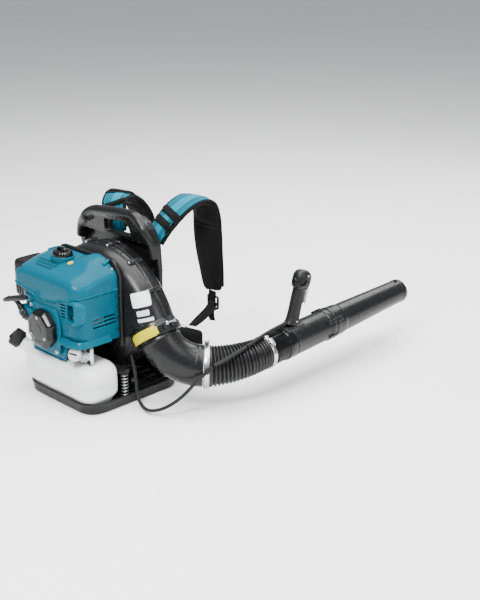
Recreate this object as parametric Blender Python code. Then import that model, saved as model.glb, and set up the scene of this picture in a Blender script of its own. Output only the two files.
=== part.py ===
"""Backpack leaf blower: frame, engine, fan housing, hinged tube and harness, one object for each piece.

Metres. +X is the wearer's right, +Y the way the wearer faces, +Z up.
The origin is the centre of the base plate's underside.
"""

import math

import bmesh
import bpy
from mathutils import Matrix, Vector

# ---- driving dimensions ----
GAP = 0.0004  # space left between pieces that touch on the real machine
WALL = 0.003  # moulded shells

BASE_HALF_WIDTH = 0.145
BASE_HALF_DEPTH = 0.160
BASE_CORNER = 0.058
BASE_FLOOR = 0.006
RIM_HEIGHT = 0.030
RIM_WALL = 0.008

FRAME_CENTRE_X = -0.015
FRAME_FRONT = 0.106
FRAME_THICK = 0.014
HANDLE_TOP = 0.483
HANDLE_FORWARD = 0.006  # of each of the two steps that carry the handle forward
HANDLE_DEPTH = 0.036

CRANK = Vector((-0.026, 0.0, 0.206))  # a point of the crank axis, which runs along Y
FAN_MID_Y = 0.033
FAN_HALF_DEPTH = 0.053
SCROLL_START = 0.1567  # from the fan axis to the duct's inner corner
SCROLL_START_ANGLE = math.radians(-9.7)
SCROLL_GROWTH = 0.035
SCROLL_FLARE = 0.0569
SCROLL_FLARE_POWER = 7.5
SCROLL_END_ANGLE = math.radians(8.9)

COVER_X = (-0.166, 0.110)
LOWER_COVER_LEFT = -0.135
COVER_Y = (-0.160, -0.0207)
COVER_CORNER = 0.026
COVER_SEAM = 0.272
COVER_BOTTOM = 0.130
COVER_TOP = 0.377
HUMP_TOP = 0.393
KNOB_AT = (-0.050, -0.080)

ELBOW_RADIUS = 0.0545
HOSE_START = Vector((0.285, 0.105, 0.112))
HOSE_START_DIRECTION = Vector((0.70, 0.71, -0.05)).normalized()
HOSE_START_RADIUS = 0.0565
HOSE_END = Vector((0.353, 0.267, 0.125))
HOSE_END_RADIUS = 0.042
TUBE_DIRECTION = Vector((0.0, 0.9986, 0.052)).normalized()
TUBE_RADIUS = 0.0434
TUBE_WALL = 0.0025
CUFF_LENGTH = 0.080
CONTROL_END = 0.240  # where the end tube begins, measured from the hose's end
END_TUBE_END = 0.566
OUTLET_RADIUS = 0.034

GRIP_BASE = Vector((0.353, 0.362, 0.1748))
GRIP_LEAN = math.radians(17)

CAP_DIRECTION = Vector((-0.685, -0.48, 0.55)).normalized()
NECK_START = Vector((-0.122, -0.122, 0.096))
NECK_LENGTH = 0.057

ROPE_EXIT = Vector((-0.100, -0.172, 0.226))
ROPE_DIRECTION = Vector((-0.50, -0.25, 0.83)).normalized()
GRIP_BAR_DIRECTION = Vector((0.046, 0.004, 0.013)).normalized()

CABLE_RADIUS = 0.0036
CABLE_LOOP = [
    (0.128, -0.008, 0.128), (0.150, -0.018, 0.106), (0.158, -0.020, 0.070), (0.165, -0.022, 0.034),
    (0.190, -0.030, 0.015), (0.226, -0.034, 0.012), (0.262, -0.016, 0.024), (0.296, 0.012, 0.055),
    (0.322, 0.040, 0.096), (0.3462, 0.076, 0.137),
]
CABLE_REAR = [
    (0.3478, 0.0805, 0.1400), (0.360, 0.104, 0.150), (0.3625, 0.132, 0.1565), (0.3635, 0.160, 0.1620),
    (0.3625, 0.181, 0.1655),
]
CABLE_FRONT = [
    (0.3622, 0.1845, 0.1660), (0.361, 0.214, 0.1715), (0.357, 0.240, 0.1745), (0.3540, 0.262, 0.1765),
]
CABLE_END = [(0.3538, 0.2656, 0.1768), (0.353, 0.290, 0.180), (0.353, 0.310, 0.182), (0.353, 0.331, 0.184)]

STRAP_THICK = 0.022
RIGHT_STRAP = [
    (0.062, 0.136, 0.386), (0.078, 0.158, 0.433), (0.096, 0.192, 0.476), (0.108, 0.232, 0.497),
    (0.110, 0.266, 0.489), (0.107, 0.284, 0.450), (0.106, 0.288, 0.400), (0.110, 0.289, 0.345),
    (0.118, 0.290, 0.290), (0.127, 0.290, 0.232),
]
LEFT_STRAP = [
    (-0.074, 0.136, 0.386), (-0.092, 0.140, 0.432), (-0.114, 0.154, 0.464), (-0.130, 0.188, 0.474),
    (-0.136, 0.226, 0.456), (-0.136, 0.252, 0.420), (-0.136, 0.264, 0.378), (-0.140, 0.270, 0.330),
    (-0.146, 0.274, 0.285), (-0.152, 0.276, 0.240),
]
STRAP_WIDTHS = (0.060, 0.070, 0.082, 0.092, 0.098, 0.100, 0.098, 0.090, 0.078, 0.058)

FINISHES = {
    "black_plastic": ((0.022, 0.023, 0.025), 0.45, 0.0),
    "grey_plastic": ((0.055, 0.056, 0.060), 0.35, 0.0),
    "teal_plastic": ((0.0, 0.21, 0.29), 0.25, 0.0),
    "tank_plastic": ((0.80, 0.81, 0.80), 0.40, 0.0),
    "light_plastic": ((0.55, 0.56, 0.56), 0.40, 0.0),
    "rubber": ((0.015, 0.015, 0.016), 0.65, 0.0),
    "cast_alloy": ((0.62, 0.63, 0.64), 0.45, 1.0),
    "steel": ((0.70, 0.71, 0.72), 0.30, 1.0),
    "bright_steel": ((0.85, 0.85, 0.86), 0.18, 1.0),
    "fabric": ((0.018, 0.018, 0.020), 0.90, 0.0),
    "teal_fabric": ((0.0, 0.24, 0.33), 0.85, 0.0),
    "filter_foam": ((0.30, 0.28, 0.22), 0.95, 0.0),
}


# ---- general helpers ----
def add_object(name, data, finish, place=Matrix.Identity(4), parent=None):
    """Links data as one named object with a material of its own."""
    colour, roughness, metallic = FINISHES[finish]
    skin = bpy.data.materials.new(f"{name}_{finish}")
    skin.use_nodes = True
    shader = skin.node_tree.nodes["Principled BSDF"]
    shader.inputs["Base Color"].default_value = (*colour, 1.0)
    shader.inputs["Roughness"].default_value = roughness
    shader.inputs["Metallic"].default_value = metallic
    data.materials.append(skin)
    obj = bpy.data.objects.new(name, data)
    bpy.context.scene.collection.objects.link(obj)
    obj.matrix_world = place
    if parent is not None:
        obj.parent = parent
        obj.matrix_parent_inverse = parent.matrix_world.inverted()
    return obj


def piece(name, bm, finish, place=Matrix.Identity(4), parent=None):
    """Turns a bmesh into a named, smooth-shaded object."""
    bmesh.ops.recalc_face_normals(bm, faces=bm.faces)
    if bm.calc_volume(signed=True) < 0:
        bmesh.ops.reverse_faces(bm, faces=bm.faces)
    mesh = bpy.data.meshes.new(name)
    bm.to_mesh(mesh)
    bm.free()
    mesh.shade_smooth()
    mesh.set_sharp_from_angle(angle=math.radians(38))
    return add_object(name, mesh, finish, place, parent)


def joint_empty(name, position):
    """An empty on a joint's axis, for the pieces that turn together."""
    empty = bpy.data.objects.new(name, None)
    empty.location = position
    bpy.context.scene.collection.objects.link(empty)
    bpy.context.view_layer.update()
    return empty


def hide_tool(obj):
    obj.hide_render = True
    obj.display_type = "WIRE"


def combine(target, tool, operation):
    """Cuts tool out of target, or joins it on; tool is then only a guide."""
    hide_tool(tool)
    modifier = target.modifiers.new(f"{operation.lower()}_{tool.name}", "BOOLEAN")
    modifier.operation = operation
    modifier.solver = "EXACT"
    modifier.object = tool


def cut(target, tool):
    combine(target, tool, "DIFFERENCE")


def join(target, tool):
    combine(target, tool, "UNION")


def aim(origin, direction, up="Y"):
    """A frame at origin whose Z axis points along direction."""
    turn = Vector(direction).to_track_quat("Z", up).to_matrix().to_4x4()
    return Matrix.Translation(origin) @ turn


def loft(bm, rings, closed=False):
    """Skins rings of equal length; closed joins the last ring to the first instead of capping both."""
    loops = [[bm.verts.new(point) for point in ring] for ring in rings]
    following = loops[1:] + ([loops[0]] if closed else [])
    for near, far in zip(loops, following):
        for i in range(len(near)):
            j = (i + 1) % len(near)
            bm.faces.new((near[i], near[j], far[j], far[i]))
    if not closed:
        bm.faces.new(loops[0])
        bm.faces.new(loops[-1])


def lofted(rings, closed=False):
    bm = bmesh.new()
    loft(bm, rings, closed)
    return bm


def circle(radius, height, segments):
    angles = [2 * math.pi * i / segments for i in range(segments)]
    return [Vector((radius * math.cos(a), radius * math.sin(a), height)) for a in angles]


def turned(profile, segments=20, hollow=False):
    """A solid of revolution about Z from (radius, height) pairs; hollow closes the profile on itself."""
    return lofted([circle(radius, height, segments) for radius, height in profile], hollow)


def block(size, bevel=0.0):
    """A box about the origin, with its edges bevelled."""
    bm = bmesh.new()
    bmesh.ops.create_cube(bm, size=1.0)
    bmesh.ops.scale(bm, vec=Vector(size), verts=bm.verts)
    if bevel:
        bmesh.ops.bevel(bm, geom=bm.edges[:], offset=bevel, segments=1, profile=0.5, affect="EDGES")
    return bm


def span_block(low, high, bevel=0.0):
    """A bevelled box from its lowest corner to its highest, in world coordinates."""
    low, high = Vector(low), Vector(high)
    bm = block(high - low, bevel)
    bmesh.ops.translate(bm, vec=(low + high) / 2, verts=bm.verts)
    return bm


def rounded_rectangle(x_low, x_high, y_low, y_high, radius, z, steps=3):
    """An outline in a horizontal plane with round corners."""
    corners = [(x_high - radius, y_high - radius, 0), (x_low + radius, y_high - radius, 90),
               (x_low + radius, y_low + radius, 180), (x_high - radius, y_low + radius, 270)]
    points = []
    for cx, cy, start in corners:
        for i in range(steps + 1):
            a = math.radians(start + 90 * i / steps)
            points.append(Vector((cx + radius * math.cos(a), cy + radius * math.sin(a), z)))
    return points


def prism(outline, low, high, axis="Y"):
    """Extrudes an outline of (a, b) pairs: (x, z) along Y, or (x, y) along Z."""
    if axis == "Y":
        rings = [[Vector((a, level, b)) for a, b in outline] for level in (low, high)]
    else:
        rings = [[Vector((a, b, level)) for a, b in outline] for level in (low, high)]
    return lofted(rings)


def bezier(p0, p1, p2, p3, t):
    s = 1 - t
    return p0 * s ** 3 + p1 * 3 * s * s * t + p2 * 3 * s * t * t + p3 * t ** 3


def frames_along(points, first=None, last=None):
    """A (point, side, up) frame at each point; first and last are the directions wanted at the two ends."""
    tangents = []
    for i, _ in enumerate(points):
        ahead = points[min(i + 1, len(points) - 1)]
        behind = points[max(i - 1, 0)]
        tangents.append((ahead - behind).normalized())
    if first is not None:
        tangents[0], tangents[-1] = first.normalized(), last.normalized()
    side = tangents[0].cross(Vector((0, 0, 1))).normalized()
    frames = []
    for point, tangent in zip(points, tangents):
        side = (side - tangent * side.dot(tangent)).normalized()
        frames.append((point, side, side.cross(tangent)))
    return frames


def ring_at(frame, radius, segments):
    point, side, up = frame
    angles = [2 * math.pi * i / segments for i in range(segments)]
    return [point + side * radius * math.cos(a) + up * radius * math.sin(a) for a in angles]


def duct(frames, radii, wall, segments=20):
    """A round hollow duct through the frames, open at both ends."""
    outer = [ring_at(f, r, segments) for f, r in zip(frames, radii)]
    inner = [ring_at(f, r - wall, segments) for f, r in zip(frames, radii)]
    return lofted(outer + inner[::-1], closed=True)


def smooth_route(points, spacing):
    """Points about spacing apart on a Catmull-Rom curve through the given points."""
    points = [Vector(p) for p in points]
    ends = [2 * points[0] - points[1]] + points + [2 * points[-1] - points[-2]]
    route = [points[0]]
    for a, b, c, d in zip(ends, ends[1:], ends[2:], ends[3:]):
        steps = max(1, round((c - b).length / spacing))
        for i in range(1, steps + 1):
            t = i / steps
            route.append(0.5 * (2 * b + (c - a) * t + (2 * a - 5 * b + 4 * c - d) * t * t
                                + (3 * b - a - 3 * c + d) * t ** 3))
    return route


def cable(name, points, radius, finish, spacing, sides=2):
    """A round cable as a POLY curve with filled caps."""
    curve = bpy.data.curves.new(name, "CURVE")
    curve.dimensions = "3D"
    curve.bevel_depth = radius
    curve.bevel_resolution = sides
    curve.use_fill_caps = True
    route = smooth_route(points, spacing)
    spline = curve.splines.new("POLY")
    spline.points.add(len(route) - 1)
    for slot, point in zip(spline.points, route):
        slot.co = (*point, 1.0)
    return add_object(name, curve, finish)


def inset_outline(points, distance):
    """Moves every corner of a closed 2D outline inwards by distance; the outline runs clockwise."""
    moved = []
    for i, here in enumerate(points):
        before, after = points[i - 1], points[(i + 1) % len(points)]
        d1 = (here - before).normalized()
        d2 = (after - here).normalized()
        n1, n2 = Vector((d1.y, -d1.x)), Vector((d2.y, -d2.x))
        mitre = (n1 + n2).normalized()
        moved.append(here + mitre * distance / max(0.5, mitre.dot(n1)))
    return moved


# ---- frame ----
def make_base_plate():
    w, d = BASE_HALF_WIDTH, BASE_HALF_DEPTH
    inner_w, inner_d = w - RIM_WALL, d - RIM_WALL
    rings = [
        rounded_rectangle(-inner_w, inner_w, -inner_d, inner_d, BASE_CORNER - RIM_WALL, BASE_FLOOR),
        rounded_rectangle(-inner_w, inner_w, -inner_d, inner_d, BASE_CORNER - RIM_WALL, RIM_HEIGHT),
        rounded_rectangle(-w, w, -d, d, BASE_CORNER, RIM_HEIGHT),
        rounded_rectangle(-w, w, -d, d, BASE_CORNER, 0.004),
        rounded_rectangle(-w + 0.004, w - 0.004, -d + 0.004, d - 0.004, BASE_CORNER - 0.004, 0.0),
    ]
    piece("base_plate", lofted(rings), "black_plastic")


def lean(z):
    """How far the frame is carried forward at height z, so the handle stands over the fan housing."""
    shift = 0.0
    for start, height in ((0.315, 0.05), (0.405, 0.030)):
        t = min(1.0, max(0.0, (z - start) / height))
        shift -= HANDLE_FORWARD * t * t * (3 - 2 * t)
    return shift


def make_back_frame():
    foot = RIM_HEIGHT + GAP
    right = [(0.128, foot), (0.130, 0.12), (0.132, 0.21), (0.135, 0.315), (0.137, 0.366), (0.136, 0.405),
             (0.124, 0.440), (0.107, 0.466), (0.085, HANDLE_TOP)]
    left = [(0.128, foot), (0.138, 0.12), (0.160, 0.21), (0.184, 0.315), (0.193, 0.366), (0.180, 0.405),
            (0.150, 0.436), (0.137, 0.456), (0.110, HANDLE_TOP - 0.013)]
    outline = right + [(-x, z) for x, z in reversed(left)]
    middle = FRAME_CENTRE_X
    back = FRAME_FRONT + FRAME_THICK
    rings = []
    for y in (FRAME_FRONT, back):
        ring = []
        for x, z in outline:
            thicker = max(0.0, -lean(z) / HANDLE_FORWARD - 1.0) * (HANDLE_DEPTH - FRAME_THICK)
            ring.append(Vector((middle + x, y + lean(z) - (thicker if y == FRAME_FRONT else 0.0), z)))
        rings.append(ring)
    bm = bmesh.new()
    front = [bm.verts.new(p) for p in rings[0]]
    rear = [bm.verts.new(p) for p in rings[1]]
    count = len(front)
    for i in range(count):
        j = (i + 1) % count
        bm.faces.new((front[i], front[j], rear[j], rear[i]))
    for i in range(count // 2 - 1):
        j = count - 1 - i
        bm.faces.new((front[i], front[i + 1], front[j - 1], front[j]))
        bm.faces.new((rear[i], rear[i + 1], rear[j - 1], rear[j]))
    frame = piece("back_frame", bm, "grey_plastic")

    grasp = [
        (-0.076, 0.402), (0.036, 0.408), (0.032, 0.440), (0.022, 0.449), (-0.070, 0.4445), (-0.080, 0.428),
    ]
    cut(frame, piece("handle_opening", prism(grasp, 0.0, 0.2), "grey_plastic"))
    for index, (x, z) in enumerate(((-0.120, 0.300), (0.060, 0.330), (-0.100, 0.120), (0.050, 0.130))):
        boss = turned([(0.010, 0.0), (0.010, FRAME_FRONT - FAN_MID_Y - FAN_HALF_DEPTH - GAP + 0.002)], 8)
        place = aim((x, FAN_MID_Y + FAN_HALF_DEPTH + GAP, z), (0, 1, 0))
        join(frame, piece(f"mounting_boss_{index}", boss, "grey_plastic", place))


def make_back_pads():
    back = FRAME_FRONT + FRAME_THICK + GAP
    rings = []
    for depth, inset in ((0.0, 0.006), (0.010, 0.0), (0.018, 0.010)):
        xs = (-0.125 + inset, 0.095 - inset)
        zs = (0.215 + inset, 0.375 - inset)
        outline = rounded_rectangle(*xs, *zs, 0.03, back + depth, 2)
        rings.append([Vector((p.x, p.z, p.y)) for p in outline])
    piece("back_pad", lofted(rings), "fabric")

    outline = [
        (-0.145, 0.0), (0.128, 0.0), (0.150, 0.028), (0.181, 0.082), (0.162, 0.090), (0.130, 0.052),
        (0.098, 0.034), (-0.115, 0.036), (-0.153, 0.060), (-0.191, 0.106), (-0.211, 0.098), (-0.173, 0.030),
    ]
    pad = prism([(x, back + y) for x, y in outline], 0.072, 0.166, axis="Z")
    piece("hip_pad", pad, "fabric")


def make_dampers():
    """Two coil springs that carry the engine on the base."""
    turns, wire, coil = 4, 0.0016, 0.0085
    low, high = BASE_FLOOR + GAP + wire, 0.0850 - wire
    for side, x in (("right", 0.124), ("left", -0.124)):
        count = turns * 9
        points = []
        for i in range(count + 1):
            a = 2 * math.pi * i / 9
            height = low + (high - low) * i / count
            points.append(Vector((x + coil * math.cos(a), coil * math.sin(a) - 0.030, height)))
        curve = bpy.data.curves.new(f"damper_spring_{side}", "CURVE")
        curve.dimensions = "3D"
        curve.bevel_depth = wire
        curve.bevel_resolution = 1
        curve.use_fill_caps = True
        spline = curve.splines.new("POLY")
        spline.points.add(count)
        for slot, point in zip(spline.points, points):
            slot.co = (*point, 1.0)
        add_object(f"damper_spring_{side}", curve, "steel")


# ---- fan ----
def scroll_outline(count=38):
    """The fan housing's outline in (x, z), clockwise from the duct's inner corner to its outer one."""
    points = []
    turn = 2 * math.pi - (SCROLL_END_ANGLE - SCROLL_START_ANGLE)
    for i in range(count):
        u = i / (count - 1)
        radius = SCROLL_START + SCROLL_GROWTH * u + SCROLL_FLARE * u ** SCROLL_FLARE_POWER
        angle = SCROLL_START_ANGLE - turn * u
        points.append(Vector((CRANK.x + radius * math.cos(angle), CRANK.z + radius * math.sin(angle))))
    return points


def duct_mouth():
    """Centre and direction of the fan housing's outlet."""
    outline = scroll_outline()
    inner, outer = outline[0], outline[-1]
    middle = (inner + outer) / 2
    across = (outer - inner).normalized()
    return Vector((middle.x, FAN_MID_Y, middle.y)), Vector((across.y, 0.0, -across.x))


def make_volute_half(name, side, hole_radius):
    """side is -1 for the engine half and +1 for the wearer's half."""
    outline = scroll_outline()
    split = FAN_MID_Y + side * GAP / 2
    face = FAN_MID_Y + side * FAN_HALF_DEPTH
    bevel, inset = (0.014, 0.008) if side < 0 else (0.030, 0.018)

    def level(inset, y):
        return [Vector((p.x, y, p.y)) for p in inset_outline(outline, inset)]

    def hole(y):
        points = []
        for p in outline:
            ray = Vector((p.x - CRANK.x, p.y - CRANK.z)).normalized()
            points.append(Vector((CRANK.x + ray.x * hole_radius, y, CRANK.z + ray.y * hole_radius)))
        return points

    rings = [
        level(0.0, split), level(0.0, face - side * bevel), level(inset, face), hole(face),
        hole(face - side * WALL), level(inset + WALL, face - side * WALL), level(WALL, face - side * bevel),
        level(WALL, split),
    ]
    half = piece(name, lofted(rings, closed=True), "grey_plastic")
    centre, along = duct_mouth()
    drill = turned([(ELBOW_RADIUS - 0.007, -0.012), (ELBOW_RADIUS - 0.007, 0.012)], 24)
    cut(half, piece(f"{name}_outlet", drill, "grey_plastic", aim(centre, along)))


def make_impeller(crank):
    """Backward-leaning blades on a hub, behind a round plate."""
    blades, hub, tip = 10, 0.032, 0.112
    outline = []
    for i in range(blades):
        a = 2 * math.pi * i / blades
        half_root, half_tip, sweep = 0.10, 0.020, 0.50
        for radius, angle in ((hub, a - half_root), (tip, a - half_tip + sweep), (tip, a + half_tip + sweep),
                              (hub, a + half_root)):
            outline.append((radius * math.cos(angle), radius * math.sin(angle)))
    bm = prism(outline, -0.014, 0.024, axis="Z")
    place = aim((CRANK.x, 0.022, CRANK.z), (0, 1, 0))
    wheel = piece("impeller", bm, "light_plastic", place, crank)
    plate = turned([(tip + 0.001, -0.020), (tip + 0.001, -0.0135)], 30)
    join(wheel, piece("impeller_plate", plate, "light_plastic", place))
    bore = turned([(0.0092, -0.03), (0.0092, 0.03)], 12)
    cut(wheel, piece("impeller_bore", bore, "light_plastic", place))


# ---- engine ----
def along_crank(y):
    return aim((CRANK.x, y, CRANK.z), (0, 1, 0))


def make_rotating_parts(crank):
    shaft = [
        (0.0070, -0.156), (0.0070, -0.136), (0.0100, -0.134),
        (0.0100, -0.058), (0.0085, -0.056), (0.0085, 0.050),
    ]
    piece("crankshaft", turned(shaft, 12), "steel", along_crank(0.0), crank)
    wheel = [(0.0090, -0.050), (0.054, -0.050), (0.054, -0.034), (0.022, -0.030), (0.0090, -0.028)]
    piece("flywheel", turned(wheel, 24, hollow=True), "cast_alloy", along_crank(0.0), crank)
    cup = [(0.0075, -0.153), (0.026, -0.153), (0.026, -0.142), (0.0075, -0.142)]
    piece("starter_cup", turned(cup, 16, hollow=True), "steel", along_crank(0.0), crank)


def make_crankcase():
    case_block = span_block((-0.086, -0.130, 0.158), (0.026, -0.062, 0.246), 0.010)
    case = piece("crankcase", case_block, "cast_alloy")
    bore = turned([(0.0112, -0.2), (0.0112, 0.0)], 12)
    cut(case, piece("crank_bore", bore, "cast_alloy", along_crank(0.0)))

    fins, pitch = 7, 0.0108
    rings = []
    for i in range(fins):
        base = 0.2464 + i * pitch
        for inset, rise in ((0.012, 0.0), (0.012, 0.004), (0.0, 0.0045), (0.0, pitch - 0.0005)):
            xs = (-0.078 + inset, 0.018 - inset)
            ys = (-0.136 + inset, -0.056 - inset)
            rings.append(rounded_rectangle(*xs, *ys, 0.010, base + rise, 1))
    cylinder = piece("cylinder", lofted(rings), "cast_alloy")
    bore_place = Matrix.Translation((CRANK.x, -0.096, 0.0))
    bore = turned([(0.0222, 0.24), (0.0222, 0.312)], 16)
    cut(cylinder, piece("cylinder_bore", bore, "cast_alloy", bore_place))
    piece("piston", turned([(0.0218, 0.276), (0.0218, 0.308)], 16), "cast_alloy", bore_place)
    top = 0.2464 + fins * pitch
    piece("rocker_cover", span_block((-0.070, -0.128, top), (0.010, -0.064, 0.346), 0.008), "black_plastic")


def make_engine_mount():
    """A cross beam on the damper springs, with a foot under the crankcase."""
    beam = piece("engine_mount", span_block((-0.136, -0.0435, 0.0855), (0.136, -0.0225, 0.097)), "cast_alloy")
    pillar = span_block((-0.070, -0.042, 0.090), (0.010, -0.024, 0.145))
    foot = span_block((-0.072, -0.122, 0.1285), (0.012, -0.023, 0.145))
    saddle = span_block((-0.071, -0.121, 0.140), (0.011, -0.0560, 0.1576))
    join(beam, piece("mount_pillar", pillar, "cast_alloy"))
    join(beam, piece("mount_foot", foot, "cast_alloy"))
    join(beam, piece("mount_saddle", saddle, "cast_alloy"))


def make_ancillaries():
    plug = [
        (0.0070, 0.0), (0.0070, 0.012), (0.0105, 0.014), (0.0105, 0.022), (0.0060, 0.026), (0.0060, 0.046),
    ]
    piece("spark_plug", turned(plug, 10), "light_plastic", aim((0.0186, -0.096, 0.300), (1, 0, 0)))
    coil = span_block((-0.052, -0.052, 0.2745), (-0.008, -0.034, 0.302), 0.003)
    piece("ignition_coil", coil, "black_plastic")
    piece("carburetor", span_block((-0.142, -0.118, 0.275), (-0.084, -0.078, 0.312), 0.004), "cast_alloy")

    shell = [((0.032, 0.090), (-0.146, -0.058), 0.190), ((0.032, 0.090), (-0.146, -0.058), 0.252),
             ((0.029, 0.093), (-0.149, -0.055), 0.258), ((0.029, 0.093), (-0.149, -0.055), 0.190),
             ((0.034, 0.088), (-0.144, -0.060), 0.183)]
    rings = [rounded_rectangle(*xs, *ys, 0.010, z, 1) for xs, ys, z in shell]
    piece("muffler", lofted(rings), "steel")

    cup = [
        ((-0.1172, -0.0384), (0.2431, 0.3374), 0.0126, -0.2164),
        ((-0.1178, -0.0381), (0.2424, 0.3378), 0.0131, -0.1690),
        ((-0.1220, -0.0340), (0.2380, 0.3420), 0.0160, -0.1690),
        ((-0.1220, -0.0340), (0.2380, 0.3420), 0.0160, -0.2120),
        ((-0.1124, -0.0443), (0.2481, 0.3322), 0.0142, -0.2230),
    ]
    rings = []
    for ys, zs, radius, x in cup:
        rings.append([Vector((p.z, p.x, p.y)) for p in rounded_rectangle(*ys, *zs, radius, x, 2)])
    piece("air_cleaner_cover", lofted(rings), "black_plastic")
    piece("air_filter", span_block((-0.205, -0.110, 0.250), (-0.178, -0.046, 0.330), 0.004), "filter_foam")


def make_engine_covers():
    x0, x1 = COVER_X
    y0, y1 = COVER_Y
    left = LOWER_COVER_LEFT
    outer = rounded_rectangle(left, x1, y0, y1, COVER_CORNER, COVER_BOTTOM, 3)
    inside_x = (left + WALL, x1 - WALL)
    inside_y = (y0 + WALL, y1 - WALL)
    inner = rounded_rectangle(*inside_x, *inside_y, COVER_CORNER - WALL, COVER_BOTTOM, 3)
    up = Vector((0, 0, COVER_SEAM - COVER_BOTTOM))
    rings = [outer, [p + up for p in outer], [p + up for p in inner], inner]
    lower = piece("engine_cover_lower", lofted(rings, closed=True), "teal_plastic")
    cuts = {
        "cover_back": span_block((left + 0.02, -0.060, 0.10), (x1 - 0.02, 0.0, 0.30)),
        "cover_corner": span_block((0.042, -0.2, 0.10), (0.2, 0.0, 0.182)),
        "filler_corner": span_block((-0.2, -0.2, 0.10), (-0.108, -0.12, 0.145)),
        "exhaust_port": span_block((0.020, -0.2, 0.222), (0.044, -0.14, 0.262)),
    }
    for name, bm in cuts.items():
        cut(lower, piece(name, bm, "teal_plastic"))
    dog = turned([(0.030, -0.2), (0.030, -0.15)], 16)
    cut(lower, piece("starter_dog_hole", dog, "teal_plastic", along_crank(0.0)))
    primer = turned([(0.0128, -0.02), (0.0128, 0.02)], 12)
    cut(lower, piece("primer_hole", primer, "teal_plastic", aim((left, -0.066, 0.196), (-1, 0, 0))))

    outside = [((x0, x1), (y0, y1), COVER_SEAM + GAP), ((x0, x1), (y0, y1), 0.334),
               ((x0 + 0.014, x1 - 0.004), (-0.138, y1 - 0.001), 0.358),
               ((x0 + 0.06, x1 - 0.028), (-0.106, y1 - 0.004), COVER_TOP),
               ((-0.0205, x1 - 0.030), (-0.098, y1 - 0.005), COVER_TOP),
               ((-0.0110, x1 - 0.036), (-0.090, y1 - 0.008), HUMP_TOP)]
    rings = [rounded_rectangle(*xs, *ys, COVER_CORNER, z, 3) for xs, ys, z in outside]
    inside = []
    for i, (xs, ys, z) in enumerate(outside):
        xs = (xs[0] + WALL, xs[1] - WALL)
        ys = (ys[0] + WALL, ys[1] - WALL)
        inside.append(rounded_rectangle(*xs, *ys, COVER_CORNER - WALL, z - (WALL if i else 0.0), 3))
    piece("engine_cover_upper", lofted(inside[::-1] + rings), "teal_plastic")
    knob = [(0.027, 0.0), (0.030, 0.006), (0.025, 0.013), (0.012, 0.017)]
    piece("top_knob", turned(knob, 16), "black_plastic", Matrix.Translation((*KNOB_AT, COVER_TOP + GAP)))


def make_starter(pull):
    housing = [(0.0408, 0.0246), (0.0457, 0.0), (0.0495, 0.0), (0.0493, 0.0171), (0.0424, 0.0287)]
    housing_place = aim((CRANK.x, COVER_Y[0] - GAP, CRANK.z), (0, -1, 0))
    piece("starter_housing", turned(housing, 20), "black_plastic", housing_place)
    reel = joint_empty("reel_axis", (CRANK.x, -0.172, CRANK.z))
    groove = [(0.040, 0.0), (0.040, 0.002), (0.034, 0.004), (0.034, 0.008), (0.040, 0.010), (0.040, 0.012)]
    reel_place = aim((CRANK.x, -0.1635, CRANK.z), (0, -1, 0))
    piece("recoil_reel", turned(groove, 20), "black_plastic", reel_place, reel)

    turns, count, width = 2.5, 32, 0.0012
    outline = []
    for shift, order in ((-width, range(count + 1)), (width, range(count, -1, -1))):
        for i in order:
            a = 2 * math.pi * turns * i / count
            radius = 0.010 + 0.026 * i / count + shift
            outline.append((radius * math.cos(a), radius * math.sin(a)))
    place = aim((CRANK.x, -0.1765, CRANK.z), (0, -1, 0))
    piece("recoil_spring", prism(outline, 0.0, 0.006, axis="Z"), "steel", place)

    rope_end = ROPE_EXIT + ROPE_DIRECTION * 0.016
    cable("starter_rope", [ROPE_EXIT, rope_end], 0.002, "light_plastic", 0.005)
    stem = [(0.0085, 0.0), (0.0065, 0.004), (0.0065, 0.024), (0.0095, 0.034)]
    place = aim(rope_end + ROPE_DIRECTION * GAP, ROPE_DIRECTION)
    grip = piece("starter_grip", turned(stem, 10), "black_plastic", place, pull)
    bar = block((0.018, 0.014, 0.098), 0.005)
    bar_place = aim(rope_end + ROPE_DIRECTION * 0.034, GRIP_BAR_DIRECTION)
    join(grip, piece("starter_grip_bar", bar, "black_plastic", bar_place))


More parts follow.
